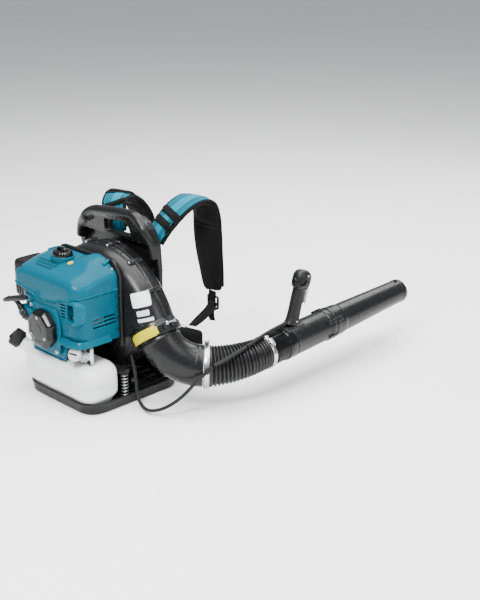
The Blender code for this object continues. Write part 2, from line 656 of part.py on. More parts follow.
def make_fuel_parts():
    levels = [((-0.120, 0.116), (-0.139, -0.060), 0.0095), ((-0.131, 0.126), (-0.149, -0.054), 0.031),
              ((-0.146, 0.142), (-0.162, -0.050), 0.046), ((-0.146, 0.142), (-0.162, -0.050), 0.104),
              ((-0.130, 0.124), (-0.146, -0.062), 0.1255)]
    rings = [rounded_rectangle(*xs, *ys, 0.038, z, 3) for xs, ys, z in levels]
    tank = piece("fuel_tank", lofted(rings), "tank_plastic")
    neck = turned([(0.026, 0.0), (0.022, 0.030), (0.0165, 0.044), (0.0165, NECK_LENGTH)], 14)
    join(tank, piece("filler_neck", neck, "tank_plastic", aim(NECK_START, CAP_DIRECTION)))
    cap_place = aim(NECK_START + CAP_DIRECTION * (NECK_LENGTH + GAP), CAP_DIRECTION)
    cap = [(0.0240, 0.0), (0.0250, 0.004), (0.0250, 0.025), (0.0220, 0.031)]
    piece("fuel_cap", turned(cap, 18), "black_plastic", cap_place)
    line = [
        (-0.105, -0.098, 0.1259), (-0.108, -0.098, 0.170), (-0.112, -0.098, 0.220), (-0.112, -0.098, 0.2746),
    ]
    cable("fuel_line", line, 0.003, "rubber", 0.014)

    neck_place = aim((0.080, -0.128, 0.148), (0.20, -0.88, 0.43))
    filler = piece("oil_filler", turned([(0.013, 0.0), (0.013, 0.020), (0.015, 0.021), (0.015, 0.027)], 14),
                   "cast_alloy", neck_place)
    flange = span_block((0.046, -0.124, 0.128), (0.110, -0.112, 0.176), 0.004)
    join(filler, piece("oil_filler_flange", flange, "cast_alloy"))
    cap_at = neck_place @ Matrix.Translation((0, 0, 0.027 + GAP))
    piece("oil_cap", turned([(0.018, 0.0), (0.018, 0.011), (0.015, 0.014)], 16), "light_plastic", cap_at)

    bulb = [(0.0118, 0.0), (0.0118, 0.006), (0.0095, 0.012), (0.0050, 0.015)]
    bulb_place = aim((LOWER_COVER_LEFT + 0.004, -0.066, 0.196), (-1, 0, 0))
    piece("primer_bulb", turned(bulb, 12), "light_plastic", bulb_place)
    lever = span_block((-0.002, -0.006, -0.032), (0.002, 0.006, 0.006), 0.0015)
    lever_place = Matrix.Translation((LOWER_COVER_LEFT - 0.0028, -0.112, 0.232))
    piece("choke_lever", lever, "black_plastic", lever_place)


# ---- duct, hose and tube ----
def make_outlet():
    centre, along = duct_mouth()
    collar = [
        (ELBOW_RADIUS + 0.001, 0.004), (0.0585, 0.004), (0.0635, 0.013),
        (0.0635, 0.029), (0.0610, 0.033), (ELBOW_RADIUS + 0.001, 0.033),
    ]
    piece("outlet_collar", turned(collar, 24, hollow=True), "grey_plastic", aim(centre, along))
    across = Vector((0, 1, 0)).cross(along)
    bolt_at = centre + along * 0.014 + across * (-0.0708) + Vector((0, -0.016, 0))
    if bolt_at.x < centre.x:
        bolt_at = centre + along * 0.014 + across * 0.0708 + Vector((0, -0.016, 0))
    bolt = [
        (0.0065, 0.0), (0.0065, 0.005), (0.0042, 0.0055), (0.0042, 0.026), (0.0065, 0.0265), (0.0065, 0.032),
    ]
    piece("collar_bolt", turned(bolt, 8), "black_plastic", aim(bolt_at, (0, 1, 0)))

    lead, bends = 0.034, 9
    start = centre + along * lead
    finish = HOSE_START - HOSE_START_DIRECTION * 0.002
    handles = (start, start + along * 0.050, finish - HOSE_START_DIRECTION * 0.050, finish)
    stations = [centre + along * 0.006] + [bezier(*handles, i / bends) for i in range(bends + 1)]
    frames = frames_along(stations, along, HOSE_START_DIRECTION)
    piece("elbow", duct(frames, [ELBOW_RADIUS] * len(frames), WALL, 20), "grey_plastic")


def hose_point(t):
    leaving = HOSE_START + HOSE_START_DIRECTION * 0.060
    arriving = HOSE_END - TUBE_DIRECTION * 0.055
    return bezier(HOSE_START, leaving, arriving, HOSE_END, t)


def hose_direction(t):
    return hose_point(t + 0.01) - hose_point(t - 0.01)


def hose_radius(t):
    return HOSE_START_RADIUS + (HOSE_END_RADIUS - HOSE_START_RADIUS) * t


def make_hose():
    """The pleated hose in two halves, so that each can bend at one joint."""
    for name, first, last in (("flex_hose_rear", 0.0, 0.4985), ("flex_hose_front", 0.5015, 1.0)):
        steps = [first + (last - first) * i / 5 for i in range(6)]
        frames = frames_along([hose_point(t) for t in steps], hose_direction(first), hose_direction(last))
        piece(name, duct(frames, [hose_radius(t) for t in steps], 0.004, 18), "rubber")

    for name, t in (("hose_clamp_rear", 0.035), ("hose_clamp_front", 0.955)):
        clear = hose_radius(t) + 0.0012
        band = [(clear, -0.0045), (clear + 0.0025, -0.0045), (clear + 0.0025, 0.0045), (clear, 0.0045)]
        piece(name, turned(band, 20, hollow=True), "bright_steel", aim(hose_point(t), hose_direction(t)))


def make_tube(control, outer_end):
    along = aim(HOSE_END, TUBE_DIRECTION, up="Y")
    inner = TUBE_RADIUS - TUBE_WALL
    cuff = [
        (inner - 0.003, 0.0055), (TUBE_RADIUS - 0.002, 0.0055), (TUBE_RADIUS - 0.002, 0.050),
        (TUBE_RADIUS, 0.052), (TUBE_RADIUS, CUFF_LENGTH), (inner - 0.003, CUFF_LENGTH),
    ]
    piece("swivel_cuff", turned(cuff, 20, hollow=True), "black_plastic", along)
    spigot = TUBE_RADIUS - 0.0045
    tube = [
        (inner - 0.004, CUFF_LENGTH + GAP), (TUBE_RADIUS, CUFF_LENGTH + GAP),
        (TUBE_RADIUS - 0.0014, CONTROL_END - GAP), (spigot, CONTROL_END - GAP),
        (spigot, CONTROL_END + 0.034), (spigot - TUBE_WALL, CONTROL_END + 0.034),
        (spigot - TUBE_WALL, CONTROL_END - 0.02), (inner - 0.004, CONTROL_END - 0.05),
    ]
    piece("control_tube", turned(tube, 24, hollow=True), "grey_plastic", along, control)
    tube = [
        (spigot + 0.0005, CONTROL_END), (TUBE_RADIUS, CONTROL_END), (TUBE_RADIUS, CONTROL_END + 0.040),
        (TUBE_RADIUS - 0.003, CONTROL_END + 0.048), (OUTLET_RADIUS, END_TUBE_END),
        (OUTLET_RADIUS - TUBE_WALL, END_TUBE_END), (TUBE_RADIUS - 0.003 - TUBE_WALL, CONTROL_END + 0.048),
        (spigot + 0.0005, CONTROL_END + 0.040),
    ]
    piece("end_tube", turned(tube, 24, hollow=True), "grey_plastic", along, outer_end)


def grip_point(along, forward, right=0.0):
    """A point of the grip: along it from its foot, forward of its middle, and to the right."""
    axis = Vector((0, math.sin(GRIP_LEAN), math.cos(GRIP_LEAN)))
    front = Vector((0, math.cos(GRIP_LEAN), -math.sin(GRIP_LEAN)))
    return GRIP_BASE + axis * along + front * forward + Vector((right, 0, 0))


def make_grip(control):
    sections = [
        (0.002, 0.0230, 0.0170, 0.000), (0.010, 0.0200, 0.0155, 0.000), (0.060, 0.0185, 0.0145, 0.000),
        (0.100, 0.0190, 0.0150, 0.001), (0.108, 0.0260, 0.0205, 0.001), (0.132, 0.0270, 0.0220, 0.002),
        (0.146, 0.0210, 0.0170, 0.001), (0.151, 0.0120, 0.0100, 0.001),
    ]
    rings = []
    for along, half_depth, half_width, shift in sections:
        ring = []
        for i in range(12):
            a = 2 * math.pi * i / 12
            spot = grip_point(along, shift + half_depth * math.cos(a), half_width * math.sin(a))
            ring.append(spot - GRIP_BASE)
        rings.append(ring)
    bm = lofted(rings)
    for vertex in bm.verts:
        if vertex.co.z < 0.0075:
            vertex.co.z = max(vertex.co.z, 0.0)
    piece("grip_housing", bm, "black_plastic", Matrix.Translation(GRIP_BASE), control)

    pivot = grip_point(0.098, 0.0300)
    trigger = [
        (0.006, 0.004), (0.006, -0.006), (-0.020, -0.002), (-0.044, 0.004), (-0.046, 0.009),
        (-0.018, 0.006), (0.002, 0.006),
    ]
    axis = Vector((0, math.sin(GRIP_LEAN), math.cos(GRIP_LEAN)))
    front = Vector((0, math.cos(GRIP_LEAN), -math.sin(GRIP_LEAN)))
    rings = [[Vector((x, 0, 0)) + axis * a + front * f for a, f in trigger] for x in (-0.0075, 0.0075)]
    piece("throttle_trigger", lofted(rings), "light_plastic", Matrix.Translation(pivot), control)

    pivot = grip_point(0.120, 0.002, 0.0232)
    lever = [
        (0.007, 0.004), (0.007, -0.004), (-0.006, -0.010), (-0.012, -0.034), (-0.018, -0.034),
        (-0.012, -0.004), (-0.006, 0.006),
    ]
    rings = [[Vector((x, 0, 0)) + axis * a + front * f for a, f in lever] for x in (0.0, 0.004)]
    piece("cruise_lever", lofted(rings), "light_plastic", Matrix.Translation(pivot), control)


def make_cables():
    for name, route in (("throttle_cable_loop", CABLE_LOOP), ("throttle_cable_rear", CABLE_REAR),
                        ("throttle_cable_front", CABLE_FRONT), ("throttle_cable_end", CABLE_END)):
        cable(name, route, CABLE_RADIUS, "rubber", 0.017)
    clear = CABLE_RADIUS + 0.0014
    clip = [(clear, -0.005), (0.0080, -0.005), (0.0080, 0.005), (clear, 0.005)]
    place = aim(Vector(CABLE_LOOP[-1]) * 0.7 + Vector(CABLE_LOOP[-2]) * 0.3,
                Vector(CABLE_LOOP[-1]) - Vector(CABLE_LOOP[-2]))
    piece("cable_clip", turned(clip, 8, hollow=True), "black_plastic", place)


# ---- harness ----
def ribbon(route, widths, thickness):
    """A strap of varying width whose width runs mostly along X."""
    points = [Vector(p) for p in route]
    rings = []
    for i, point in enumerate(points):
        tangent = (points[min(i + 1, len(points) - 1)] - points[max(i - 1, 0)]).normalized()
        side = (Vector((1, 0, 0)) - tangent * tangent.x).normalized()
        normal = tangent.cross(side)
        half, thin = side * widths[i] / 2, normal * thickness / 2
        rings.append([point + half * 0.9 + thin, point + half, point + half * 0.9 - thin,
                      point - half * 0.9 - thin, point - half, point - half * 0.9 + thin])
    return lofted(rings)


def make_harness():
    for side, route, sign in (("right", RIGHT_STRAP, 1), ("left", LEFT_STRAP, -1)):
        piece(f"shoulder_strap_{side}", ribbon(route, STRAP_WIDTHS, STRAP_THICK), "fabric")
        bottom = Vector(route[-1])
        top = bottom - Vector((0, 0, 0.0045))
        wing = Vector((0.150 if sign > 0 else -0.165, 0.185, 0.1690 + GAP))
        web = [top, top - Vector((0, 0.002, 0.030)), top * 0.35 + wing * 0.65 - Vector((0, 0, 0.004)), wing]
        piece(f"harness_webbing_{side}", ribbon(web, (0.026, 0.028, 0.024, 0.024), 0.004), "fabric")


def main():
    for obj in list(bpy.data.objects):
        bpy.data.objects.remove(obj, do_unlink=True)
    crank = joint_empty("crank_axis", CRANK)
    control = joint_empty("swivel_axis", HOSE_END)
    outer_end = joint_empty("bayonet_axis", HOSE_END + TUBE_DIRECTION * CONTROL_END)
    pull = joint_empty("pull_start", ROPE_EXIT)

    make_base_plate()
    make_back_frame()
    make_back_pads()
    make_dampers()
    make_volute_half("volute_front", -1, 0.030)
    make_volute_half("volute_rear", 1, 0.075)
    make_impeller(crank)
    make_rotating_parts(crank)
    make_crankcase()
    make_engine_mount()
    make_ancillaries()
    make_engine_covers()
    make_starter(pull)
    make_fuel_parts()
    make_outlet()
    make_hose()
    make_tube(control, outer_end)
    make_grip(control)
    make_cables()
    make_harness()


main()
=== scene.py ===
"""Looks for the backpack leaf blower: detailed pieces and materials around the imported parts."""

import math

import bmesh
import bpy
from mathutils import Matrix, Vector, bvhtree


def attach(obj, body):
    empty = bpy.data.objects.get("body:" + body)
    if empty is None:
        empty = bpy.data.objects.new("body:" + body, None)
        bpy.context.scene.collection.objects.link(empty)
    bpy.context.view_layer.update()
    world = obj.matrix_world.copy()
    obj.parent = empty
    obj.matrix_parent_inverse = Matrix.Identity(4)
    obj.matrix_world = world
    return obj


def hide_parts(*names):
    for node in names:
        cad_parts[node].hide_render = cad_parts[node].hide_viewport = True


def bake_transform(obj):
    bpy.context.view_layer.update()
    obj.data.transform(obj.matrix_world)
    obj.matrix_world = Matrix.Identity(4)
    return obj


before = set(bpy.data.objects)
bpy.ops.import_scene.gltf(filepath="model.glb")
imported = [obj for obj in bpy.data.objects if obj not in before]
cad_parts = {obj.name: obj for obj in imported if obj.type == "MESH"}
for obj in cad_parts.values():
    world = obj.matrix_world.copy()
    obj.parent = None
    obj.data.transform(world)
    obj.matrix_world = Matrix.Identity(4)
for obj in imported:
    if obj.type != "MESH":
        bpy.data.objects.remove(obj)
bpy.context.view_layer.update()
V = Vector
TAU = 2 * math.pi
NEARLY_STRAIGHT = 0.01  # radians short of a straight line that still counts as one
POINT = 0.00005  # radius where a turned profile closes
SLIVER, HAIR = 1e-9, (0.00013, 0.00009, 0.00017)  # a volume to ignore, and how far a failed cutter moves
STANDOFF = 0.08  # how far in front of a surface a ray starts
CLOTH_FRAMES = 20

# ---- shared dimensions, as in the parts ----
CRANK = V((-0.026, 0.0, 0.206))
FAN_Y = 0.033
FLANGE_SCREWS = (0.55, 0.625, 0.72, 0.80, 0.875, 0.945, 0.14, 0.30, 0.42)  # shares of the way round
SCROLL_START, SCROLL_GROWTH, SCROLL_FLARE, SCROLL_POWER = 0.1567, 0.035, 0.0569, 7.5
SCROLL_FIRST, SCROLL_LAST = math.radians(-9.7), math.radians(8.9)
COVER_X = (-0.166, 0.110)
COVER_Y = (-0.160, -0.0207)
LOWER_LEFT = -0.135
HOSE_START, HOSE_START_DIR = V((0.285, 0.105, 0.112)), V((0.70, 0.71, -0.05)).normalized()
HOSE_START_R = 0.0565
HOSE_END, HOSE_END_R = V((0.353, 0.267, 0.125)), 0.042
TUBE_DIR = V((0.0, 0.9986, 0.052)).normalized()
TUBE_R, TUBE_END, OUTLET_R = 0.0434, 0.566, 0.034
ELBOW_R = 0.0545
PLEATS = 18
GRIP_BASE, GRIP_LEAN = V((0.353, 0.362, 0.1748)), math.radians(17)
GRIP_AXIS = V((0, math.sin(GRIP_LEAN), math.cos(GRIP_LEAN)))
GRIP_FRONT = V((0, math.cos(GRIP_LEAN), -math.sin(GRIP_LEAN)))
DAMPER_X, DAMPER_Y = 0.124, -0.030
CAP_DIR, NECK_START, NECK_LENGTH = V((-0.685, -0.48, 0.55)).normalized(), V((-0.122, -0.122, 0.096)), 0.057
ROPE_EXIT, ROPE_DIR = V((-0.100, -0.172, 0.226)), V((-0.50, -0.25, 0.83)).normalized()
GRIP_BAR_DIR = V((0.046, 0.004, 0.013)).normalized()
CABLE_R = 0.0045
CABLE_LOOP = [
    (0.128, -0.008, 0.128), (0.150, -0.018, 0.106), (0.158, -0.020, 0.070), (0.165, -0.022, 0.034),
    (0.190, -0.030, 0.015), (0.226, -0.034, 0.012), (0.262, -0.016, 0.024), (0.296, 0.012, 0.055),
    (0.322, 0.040, 0.096), (0.3462, 0.076, 0.137),
]
CABLE_REAR = [(0.3478, 0.0805, 0.1400), (0.360, 0.104, 0.150), (0.3625, 0.132, 0.1565),
              (0.3635, 0.160, 0.1620), (0.3625, 0.181, 0.1655)]
CABLE_FRONT = [(0.3622, 0.1845, 0.1660), (0.361, 0.214, 0.1715), (0.357, 0.240, 0.1745),
               (0.3540, 0.262, 0.1765)]
CABLE_END = [(0.3538, 0.2656, 0.1768), (0.353, 0.290, 0.180), (0.353, 0.310, 0.182), (0.353, 0.331, 0.184)]
RIGHT_STRAP = [
    (0.062, 0.136, 0.386), (0.078, 0.158, 0.433), (0.096, 0.192, 0.476), (0.108, 0.232, 0.497),
    (0.110, 0.266, 0.489), (0.107, 0.284, 0.450), (0.106, 0.288, 0.400), (0.110, 0.289, 0.345),
    (0.118, 0.290, 0.290), (0.127, 0.290, 0.232),
]
LEFT_STRAP = [
    (-0.074, 0.136, 0.386), (-0.092, 0.140, 0.432), (-0.114, 0.154, 0.464), (-0.130, 0.188, 0.474),
    (-0.136, 0.226, 0.456), (-0.136, 0.252, 0.420), (-0.136, 0.264, 0.378), (-0.140, 0.270, 0.330),
    (-0.146, 0.274, 0.285), (-0.152, 0.276, 0.240),
]
STRAP_WIDTHS = (0.062, 0.074, 0.085, 0.094, 0.100, 0.105, 0.107, 0.100, 0.088, 0.072)


# ---- camera ----
def make_camera():
    data = bpy.data.cameras.new("camera")
    data.lens, data.sensor_width, data.sensor_fit = 66, 36, "AUTO"
    camera = bpy.data.objects.new("camera", data)
    bpy.context.scene.collection.objects.link(camera)
    camera.location = (2.198, -1.677, 1.244)
    turn, tilt = math.radians(45), math.radians(20)
    forward = V((-math.sin(turn) * math.cos(tilt), math.cos(turn) * math.cos(tilt), -math.sin(tilt)))
    camera.rotation_euler = forward.to_track_quat("-Z", "Y").to_euler()
    bpy.context.scene.camera = camera


make_camera()


# ---- curves and meshes ----
def move(x, y, z):
    return Matrix.Translation((x, y, z))


def oval(count, wide=1.0, tall=None, square=1.0, square_tall=None):
    """Evenly turned (across, up) points of an oval; a power below 1 squares it off."""
    spots = []
    for i in range(count):
        c, s = math.cos(TAU * i / count), math.sin(TAU * i / count)
        c = math.copysign(abs(c) ** square, c)
        s = math.copysign(abs(s) ** (square_tall or square), s)
        spots.append((c * wide, s * (wide if tall is None else tall)))
    return spots


def bend(start, here, end, steps):
    """Points on the curve that rounds the corner at here."""
    shares = [k / steps for k in range(steps + 1)]
    return [start * (1 - t) ** 2 + here * 2 * t * (1 - t) + end * t * t for t in shares]


def tangent_at(points, i):
    return (points[min(i + 1, len(points) - 1)] - points[max(i - 1, 0)]).normalized()


def finish_shading(mesh, sharp):
    mesh.shade_smooth()
    if sharp:
        mesh.set_sharp_from_angle(angle=math.radians(sharp))


def skin(bm, loops, closed=False, caps=True):
    """Faces between neighbouring rings of vertices."""
    for near, far in zip(loops, loops[1:] + ([loops[0]] if closed else [])):
        for i in range(len(near)):
            j = (i + 1) % len(near)
            bm.faces.new((near[i], near[j], far[j], far[i]))
    if caps and not closed:
        bm.faces.new(loops[0][::-1])
        bm.faces.new(loops[-1])


def cube_between(low, high):
    bm = bmesh.new()
    bmesh.ops.create_cube(bm, size=1.0)
    low, high = V(low), V(high)
    bmesh.ops.scale(bm, vec=high - low, verts=bm.verts)
    bmesh.ops.translate(bm, vec=(low + high) / 2, verts=bm.verts)
    return bm


def rod(name, points, radius, segments, mat):
    return sweep(name, points, oval(segments, radius), mat)


def bead(name, points, radius, mat, axis=V((0, 0, 1)), segments=8):
    """A thin round bead along a closed loop of points that lies across the axis."""
    rings = []
    for i, point in enumerate(points):
        tangent = (points[(i + 1) % len(points)] - points[i - 1]).normalized()
        side = tangent.cross(axis).normalized()
        up = side.cross(tangent)
        rings.append([point + side * a + up * b for a, b in oval(segments, radius)])
    return loft(name, rings, mat, closed=True)


def surface_of(obj):
    return bvhtree.BVHTree.FromObject(obj, bpy.context.evaluated_depsgraph_get())


def smooth_route(points, spacing):
    """Points about spacing apart on a Catmull-Rom curve through the given points."""
    points = [V(p) for p in points]
    ends = [2 * points[0] - points[1]] + points + [2 * points[-1] - points[-2]]
    route = [points[0]]
    for a, b, c, d in zip(ends, ends[1:], ends[2:], ends[3:]):
        steps = max(1, round((c - b).length / spacing))
        for i in range(1, steps + 1):
            t = i / steps
            route.append(0.5 * (2 * b + (c - a) * t + (2 * a - 5 * b + 4 * c - d) * t * t
                                + (3 * b - a - 3 * c + d) * t ** 3))
    return route


def bezier(p0, p1, p2, p3, t):
    s = 1 - t
    return p0 * s ** 3 + p1 * 3 * s * s * t + p2 * 3 * s * t * t + p3 * t ** 3


def ramp(t):
    t = min(1.0, max(0.0, t))
    return t * t * (3 - 2 * t)


def route_length(points):
    return sum((b - a).length for a, b in zip(points, points[1:]))


def frames_along(points, first=None, last=None):
    """(point, side, up) frames that turn as little as possible along the points."""
    tangents = [tangent_at(points, i) for i in range(len(points))]
    if first is not None:
        tangents[0], tangents[-1] = first.normalized(), last.normalized()
    side = tangents[0].cross(V((0, 0, 1))).normalized()
    frames = []
    for point, tangent in zip(points, tangents):
        side = (side - tangent * side.dot(tangent)).normalized()
        frames.append((point, side, side.cross(tangent)))
    return frames


def aim(origin, direction):
    """A place whose +Z runs along the direction."""
    return move(*origin) @ V(direction).to_track_quat("Z", "Y").to_matrix().to_4x4()


def fillet(corners, steps=5):
    """Rounds a closed 2D outline; each corner is (x, y, radius)."""
    points = []
    for i, (x, y, radius) in enumerate(corners):
        here = V((x, y))
        a, b = V(corners[i - 1][:2]) - here, V(corners[(i + 1) % len(corners)][:2]) - here
        angle = a.angle(b)
        if angle > math.pi - NEARLY_STRAIGHT:
            points.append(here)
            continue
        reach = min(radius / math.tan(angle / 2), a.length * 0.48, b.length * 0.48)
        points += bend(here + a.normalized() * reach, here, here + b.normalized() * reach, steps)
    return points


def inset(points, distance):
    """Moves a closed 2D outline inwards; the outline runs anticlockwise."""
    moved = []
    for i, here in enumerate(points):
        along = points[(i + 1) % len(points)] - points[i - 1]
        if along.length < 1e-9:
            moved.append(here.copy())
        else:
            along.normalize()
            moved.append(here + V((-along.y, along.x)) * distance)
    return moved


def new_object(name, mesh, mat, sharp=32, place=None):
    for m in mat if isinstance(mat, (list, tuple)) else [mat]:
        mesh.materials.append(m)
    finish_shading(mesh, sharp)
    obj = bpy.data.objects.new(name, mesh)
    bpy.context.scene.collection.objects.link(obj)
    if place is not None:
        mesh.transform(place)
    return obj


def from_bm(name, bm, mat, sharp=32, place=None, turn_out=True):
    if turn_out:
        bmesh.ops.recalc_face_normals(bm, faces=bm.faces)
    mesh = bpy.data.meshes.new(name)
    bm.to_mesh(mesh)
    bm.free()
    return new_object(name, mesh, mat, sharp, place)


def loft(name, rings, mat, closed=False, caps=True, sharp=32, place=None):
    """Skins rings of equal length."""
    bm = bmesh.new()
    skin(bm, [[bm.verts.new(p) for p in ring] for ring in rings], closed, caps)
    return from_bm(name, bm, mat, sharp, place)


def turned(name, profile, mat, place=None, segments=64, hollow=False, ripple=None, sharp=32):
    """A solid of revolution from (radius, height) pairs; ripple(angle, i) adds to the radius."""
    rings = []
    for i, (radius, height) in enumerate(profile):
        ring = []
        for k in range(segments):
            a = TAU * k / segments
            r = radius + (ripple(a, i) if ripple else 0.0)
            ring.append(V((r * math.cos(a), r * math.sin(a), height)))
        rings.append(ring)
    return loft(name, rings, mat, closed=hollow, sharp=sharp, place=place)


def soft_profile(profile, radius=0.0012, steps=3, closed=False):
    """Rounds the corners of a (radius, height) profile."""
    points = []
    for i, spot in enumerate(profile):
        here = V(spot)
        if not closed and i in (0, len(profile) - 1):
            points.append(here)
            continue
        a, b = V(profile[i - 1]) - here, V(profile[(i + 1) % len(profile)]) - here
        reach = min(radius, a.length * 0.45, b.length * 0.45)
        points += bend(here + a.normalized() * reach, here, here + b.normalized() * reach, steps)
    return [tuple(p) for p in points]


def outline_rings(outline, low, high, edge, axis, steps=4):
    """Rings of a plate with rounded rims between two levels of an axis, from an anticlockwise outline."""
    levels = []
    for k in range(steps + 1):
        a = math.pi / 2 * k / steps
        levels.append((edge * (1 - math.sin(a)), low + edge * (1 - math.cos(a))))
    levels += [(d, high - (level - low)) for d, level in reversed(levels)]
    spread = {"X": lambda p, level: V((level, p.x, p.y)), "Y": lambda p, level: V((p.x, level, p.y)),
              "Z": lambda p, level: V((p.x, p.y, level))}[axis]
    return [[spread(p, level) for p in inset(outline, distance)] for distance, level in levels]


def slab(name, outline, low, high, mat, edge=0.0015, steps=3, axis="Y", place=None):
    return loft(name, outline_rings([V(p) for p in outline], low, high, edge, axis, steps), mat, place=place)


def rounded_block(name, low, high, radius, mat, segments=3, place=None):
    bm = cube_between(low, high)
    bmesh.ops.bevel(bm, geom=bm.edges[:], offset=radius, segments=segments, profile=0.5, affect="EDGES")
    return from_bm(name, bm, mat, 32, place)


def sweep(name, points, section, mat):
    """Carries a section along the points: (side, up) offsets, or a function of the point's number."""
    rings = []
    for k, (point, side, up) in enumerate(frames_along(points)):
        rings.append([point + side * a + up * b for a, b in (section(k) if callable(section) else section)])
    return loft(name, rings, mat)


def volume(mesh):
    bm = bmesh.new()
    bm.from_mesh(mesh)
    size = bm.calc_volume(signed=True)
    bm.free()
    return size


def carve(obj, tools, sharp=32):
    """Exact Boolean cuts, one at a time, whose inner faces keep the tools' materials.

    A cut that gains volume, or loses more than its tool's, is tried again with the tool a hair to one side.
    """
    bm = bmesh.new()
    bm.from_mesh(obj.data)
    bmesh.ops.triangulate(bm, faces=bm.faces[:])
    bm.to_mesh(obj.data)
    bm.free()
    for tool in tools:
        whole, before, limit = obj.data, volume(obj.data), abs(volume(tool.data)) * 1.02
        for _ in range(5):
            modifier = obj.modifiers.new("carve", "BOOLEAN")
            modifier.operation, modifier.solver, modifier.object = "DIFFERENCE", "EXACT", tool
            modifier.material_mode = "TRANSFER"
            bake(obj, sharp)
            if -SLIVER <= before - volume(obj.data) <= limit + SLIVER:
                break
            obj.data = whole
            tool.data.transform(move(*HAIR))
        bpy.data.objects.remove(tool, do_unlink=True)
    return obj


def bake(obj, sharp=32):
    """Replaces the mesh by what its modifiers make of it."""
    bpy.context.view_layer.update()
    mesh = bpy.data.meshes.new_from_object(obj.evaluated_get(bpy.context.evaluated_depsgraph_get()))
    obj.modifiers.clear()
    obj.data = mesh
    finish_shading(mesh, sharp)
    return obj


def melt(name, parts, mat, voxel=0.0022, smooth=6, sharp=None):
    """Joins overlapping solids into one moulded skin with soft inner corners."""
    bm = bmesh.new()
    for part in parts:
        bm.from_mesh(part.data)
        bpy.data.objects.remove(part, do_unlink=True)
    obj = from_bm(name, bm, mat, sharp)
    modifier = obj.modifiers.new("melt", "REMESH")
    modifier.mode, modifier.voxel_size, modifier.use_smooth_shade = "VOXEL", voxel, True
    relax = obj.modifiers.new("relax", "SMOOTH")
    relax.factor, relax.iterations = 0.5, smooth
    bake(obj, sharp)
    obj.data.materials.clear()
    obj.data.materials.append(mat)
    return obj


def gather(name, parts, keep_sharp=32):
    """Puts several small solids into one object, each with its own material."""
    mats, bm = [], bmesh.new()
    for part in parts:
        start = len(bm.faces)
        bm.from_mesh(part.data)
        bm.faces.ensure_lookup_table()
        for face in bm.faces[start:]:
            face.material_index += len(mats)
        mats += list(part.data.materials)
        bpy.data.objects.remove(part, do_unlink=True)
    return from_bm(name, bm, mats, keep_sharp, turn_out=False)


def place_piece(obj, body, *nodes, slot=None):
    """Gives a piece its body and hides the parts it stands for."""
    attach(obj, body)
    if nodes:
        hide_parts(*nodes)
    return obj


def assemble(name, parts, body, *nodes, slot=None, sharp=32):
    return place_piece(gather(name, parts, sharp), body, *nodes, slot=slot)


def place_across(obj, body_a, body_b, start, end, node):
    """Bakes a piece's place into its mesh and hides the part it stands for."""
    tuple(start)
    tuple(end)
    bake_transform(obj)
    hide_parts(node)


# ---- materials ----
class Nodes:
    """A short way to wire one material."""

    def __init__(self, name):
        self.mat = bpy.data.materials.new(name)
        self.mat.use_nodes = True
        self.tree = self.mat.node_tree
        self.shader = self.tree.nodes["Principled BSDF"]

    def add(self, kind, values=None, **settings):
        node = self.tree.nodes.new(kind)
        for key, value in settings.items():
            setattr(node, key, value)
        for key, value in (values or {}).items():
            node.inputs[key].default_value = value
        return node

    def link(self, out, into):
        self.tree.links.new(out, into)

    def feed(self, **values):
        for key, value in values.items():
            self.shader.inputs[key.replace("_", " ")].default_value = value

    def math(self, operation, a, b):
        node = self.add("ShaderNodeMath", operation=operation)
        for i, value in enumerate((a, b)):
            if hasattr(value, "links"):
                self.link(value, node.inputs[i])
            else:
                node.inputs[i].default_value = value
        return node.outputs[0]

    def spread(self, value, low, high, start=0.0, end=1.0):
        node = self.add("ShaderNodeMapRange", {"From Min": start, "From Max": end, "To Min": low,
                                               "To Max": high})
        self.link(value, node.inputs["Value"])
        return node.outputs["Result"]

    def noise(self, scale, detail=3.0, rough=0.5, stretch=None, vector=None):
        if vector is None:
            vector = self.add("ShaderNodeTexCoord").outputs["Object"]
        if stretch:
            mapping = self.add("ShaderNodeMapping", {"Scale": stretch})
            self.link(vector, mapping.inputs["Vector"])
            vector = mapping.outputs["Vector"]
        node = self.add("ShaderNodeTexNoise", {"Scale": scale, "Detail": detail, "Roughness": rough})
        self.link(vector, node.inputs["Vector"])
        return node.outputs["Fac"]

    def mix(self, factor, a, b, blend="MIX"):
        node = self.add("ShaderNodeMix", data_type="RGBA", blend_type=blend)
        if hasattr(factor, "links"):
            self.link(factor, node.inputs[0])
        else:
            node.inputs[0].default_value = factor
        for socket, value in ((node.inputs[6], a), (node.inputs[7], b)):
            if hasattr(value, "links"):
                self.link(value, socket)
            else:
                socket.default_value = (*value[:3], 1.0)
        return node.outputs[2]

    def bump(self, height, strength, distance=0.0004, after=None):
        node = self.add("ShaderNodeBump", {"Strength": strength, "Distance": distance})
        self.link(height, node.inputs["Height"])
        if after is not None:
            self.link(after, node.inputs["Normal"])
        return node.outputs["Normal"]

    def finish(self, colour=None, rough=None, normal=None):
        for value, key in ((colour, "Base Color"), (rough, "Roughness"), (normal, "Normal")):
            if value is not None:
                self.link(value, self.shader.inputs[key])
        return self.mat


def tint(colour, factor):
    return tuple(min(1.0, c * factor) for c in colour)


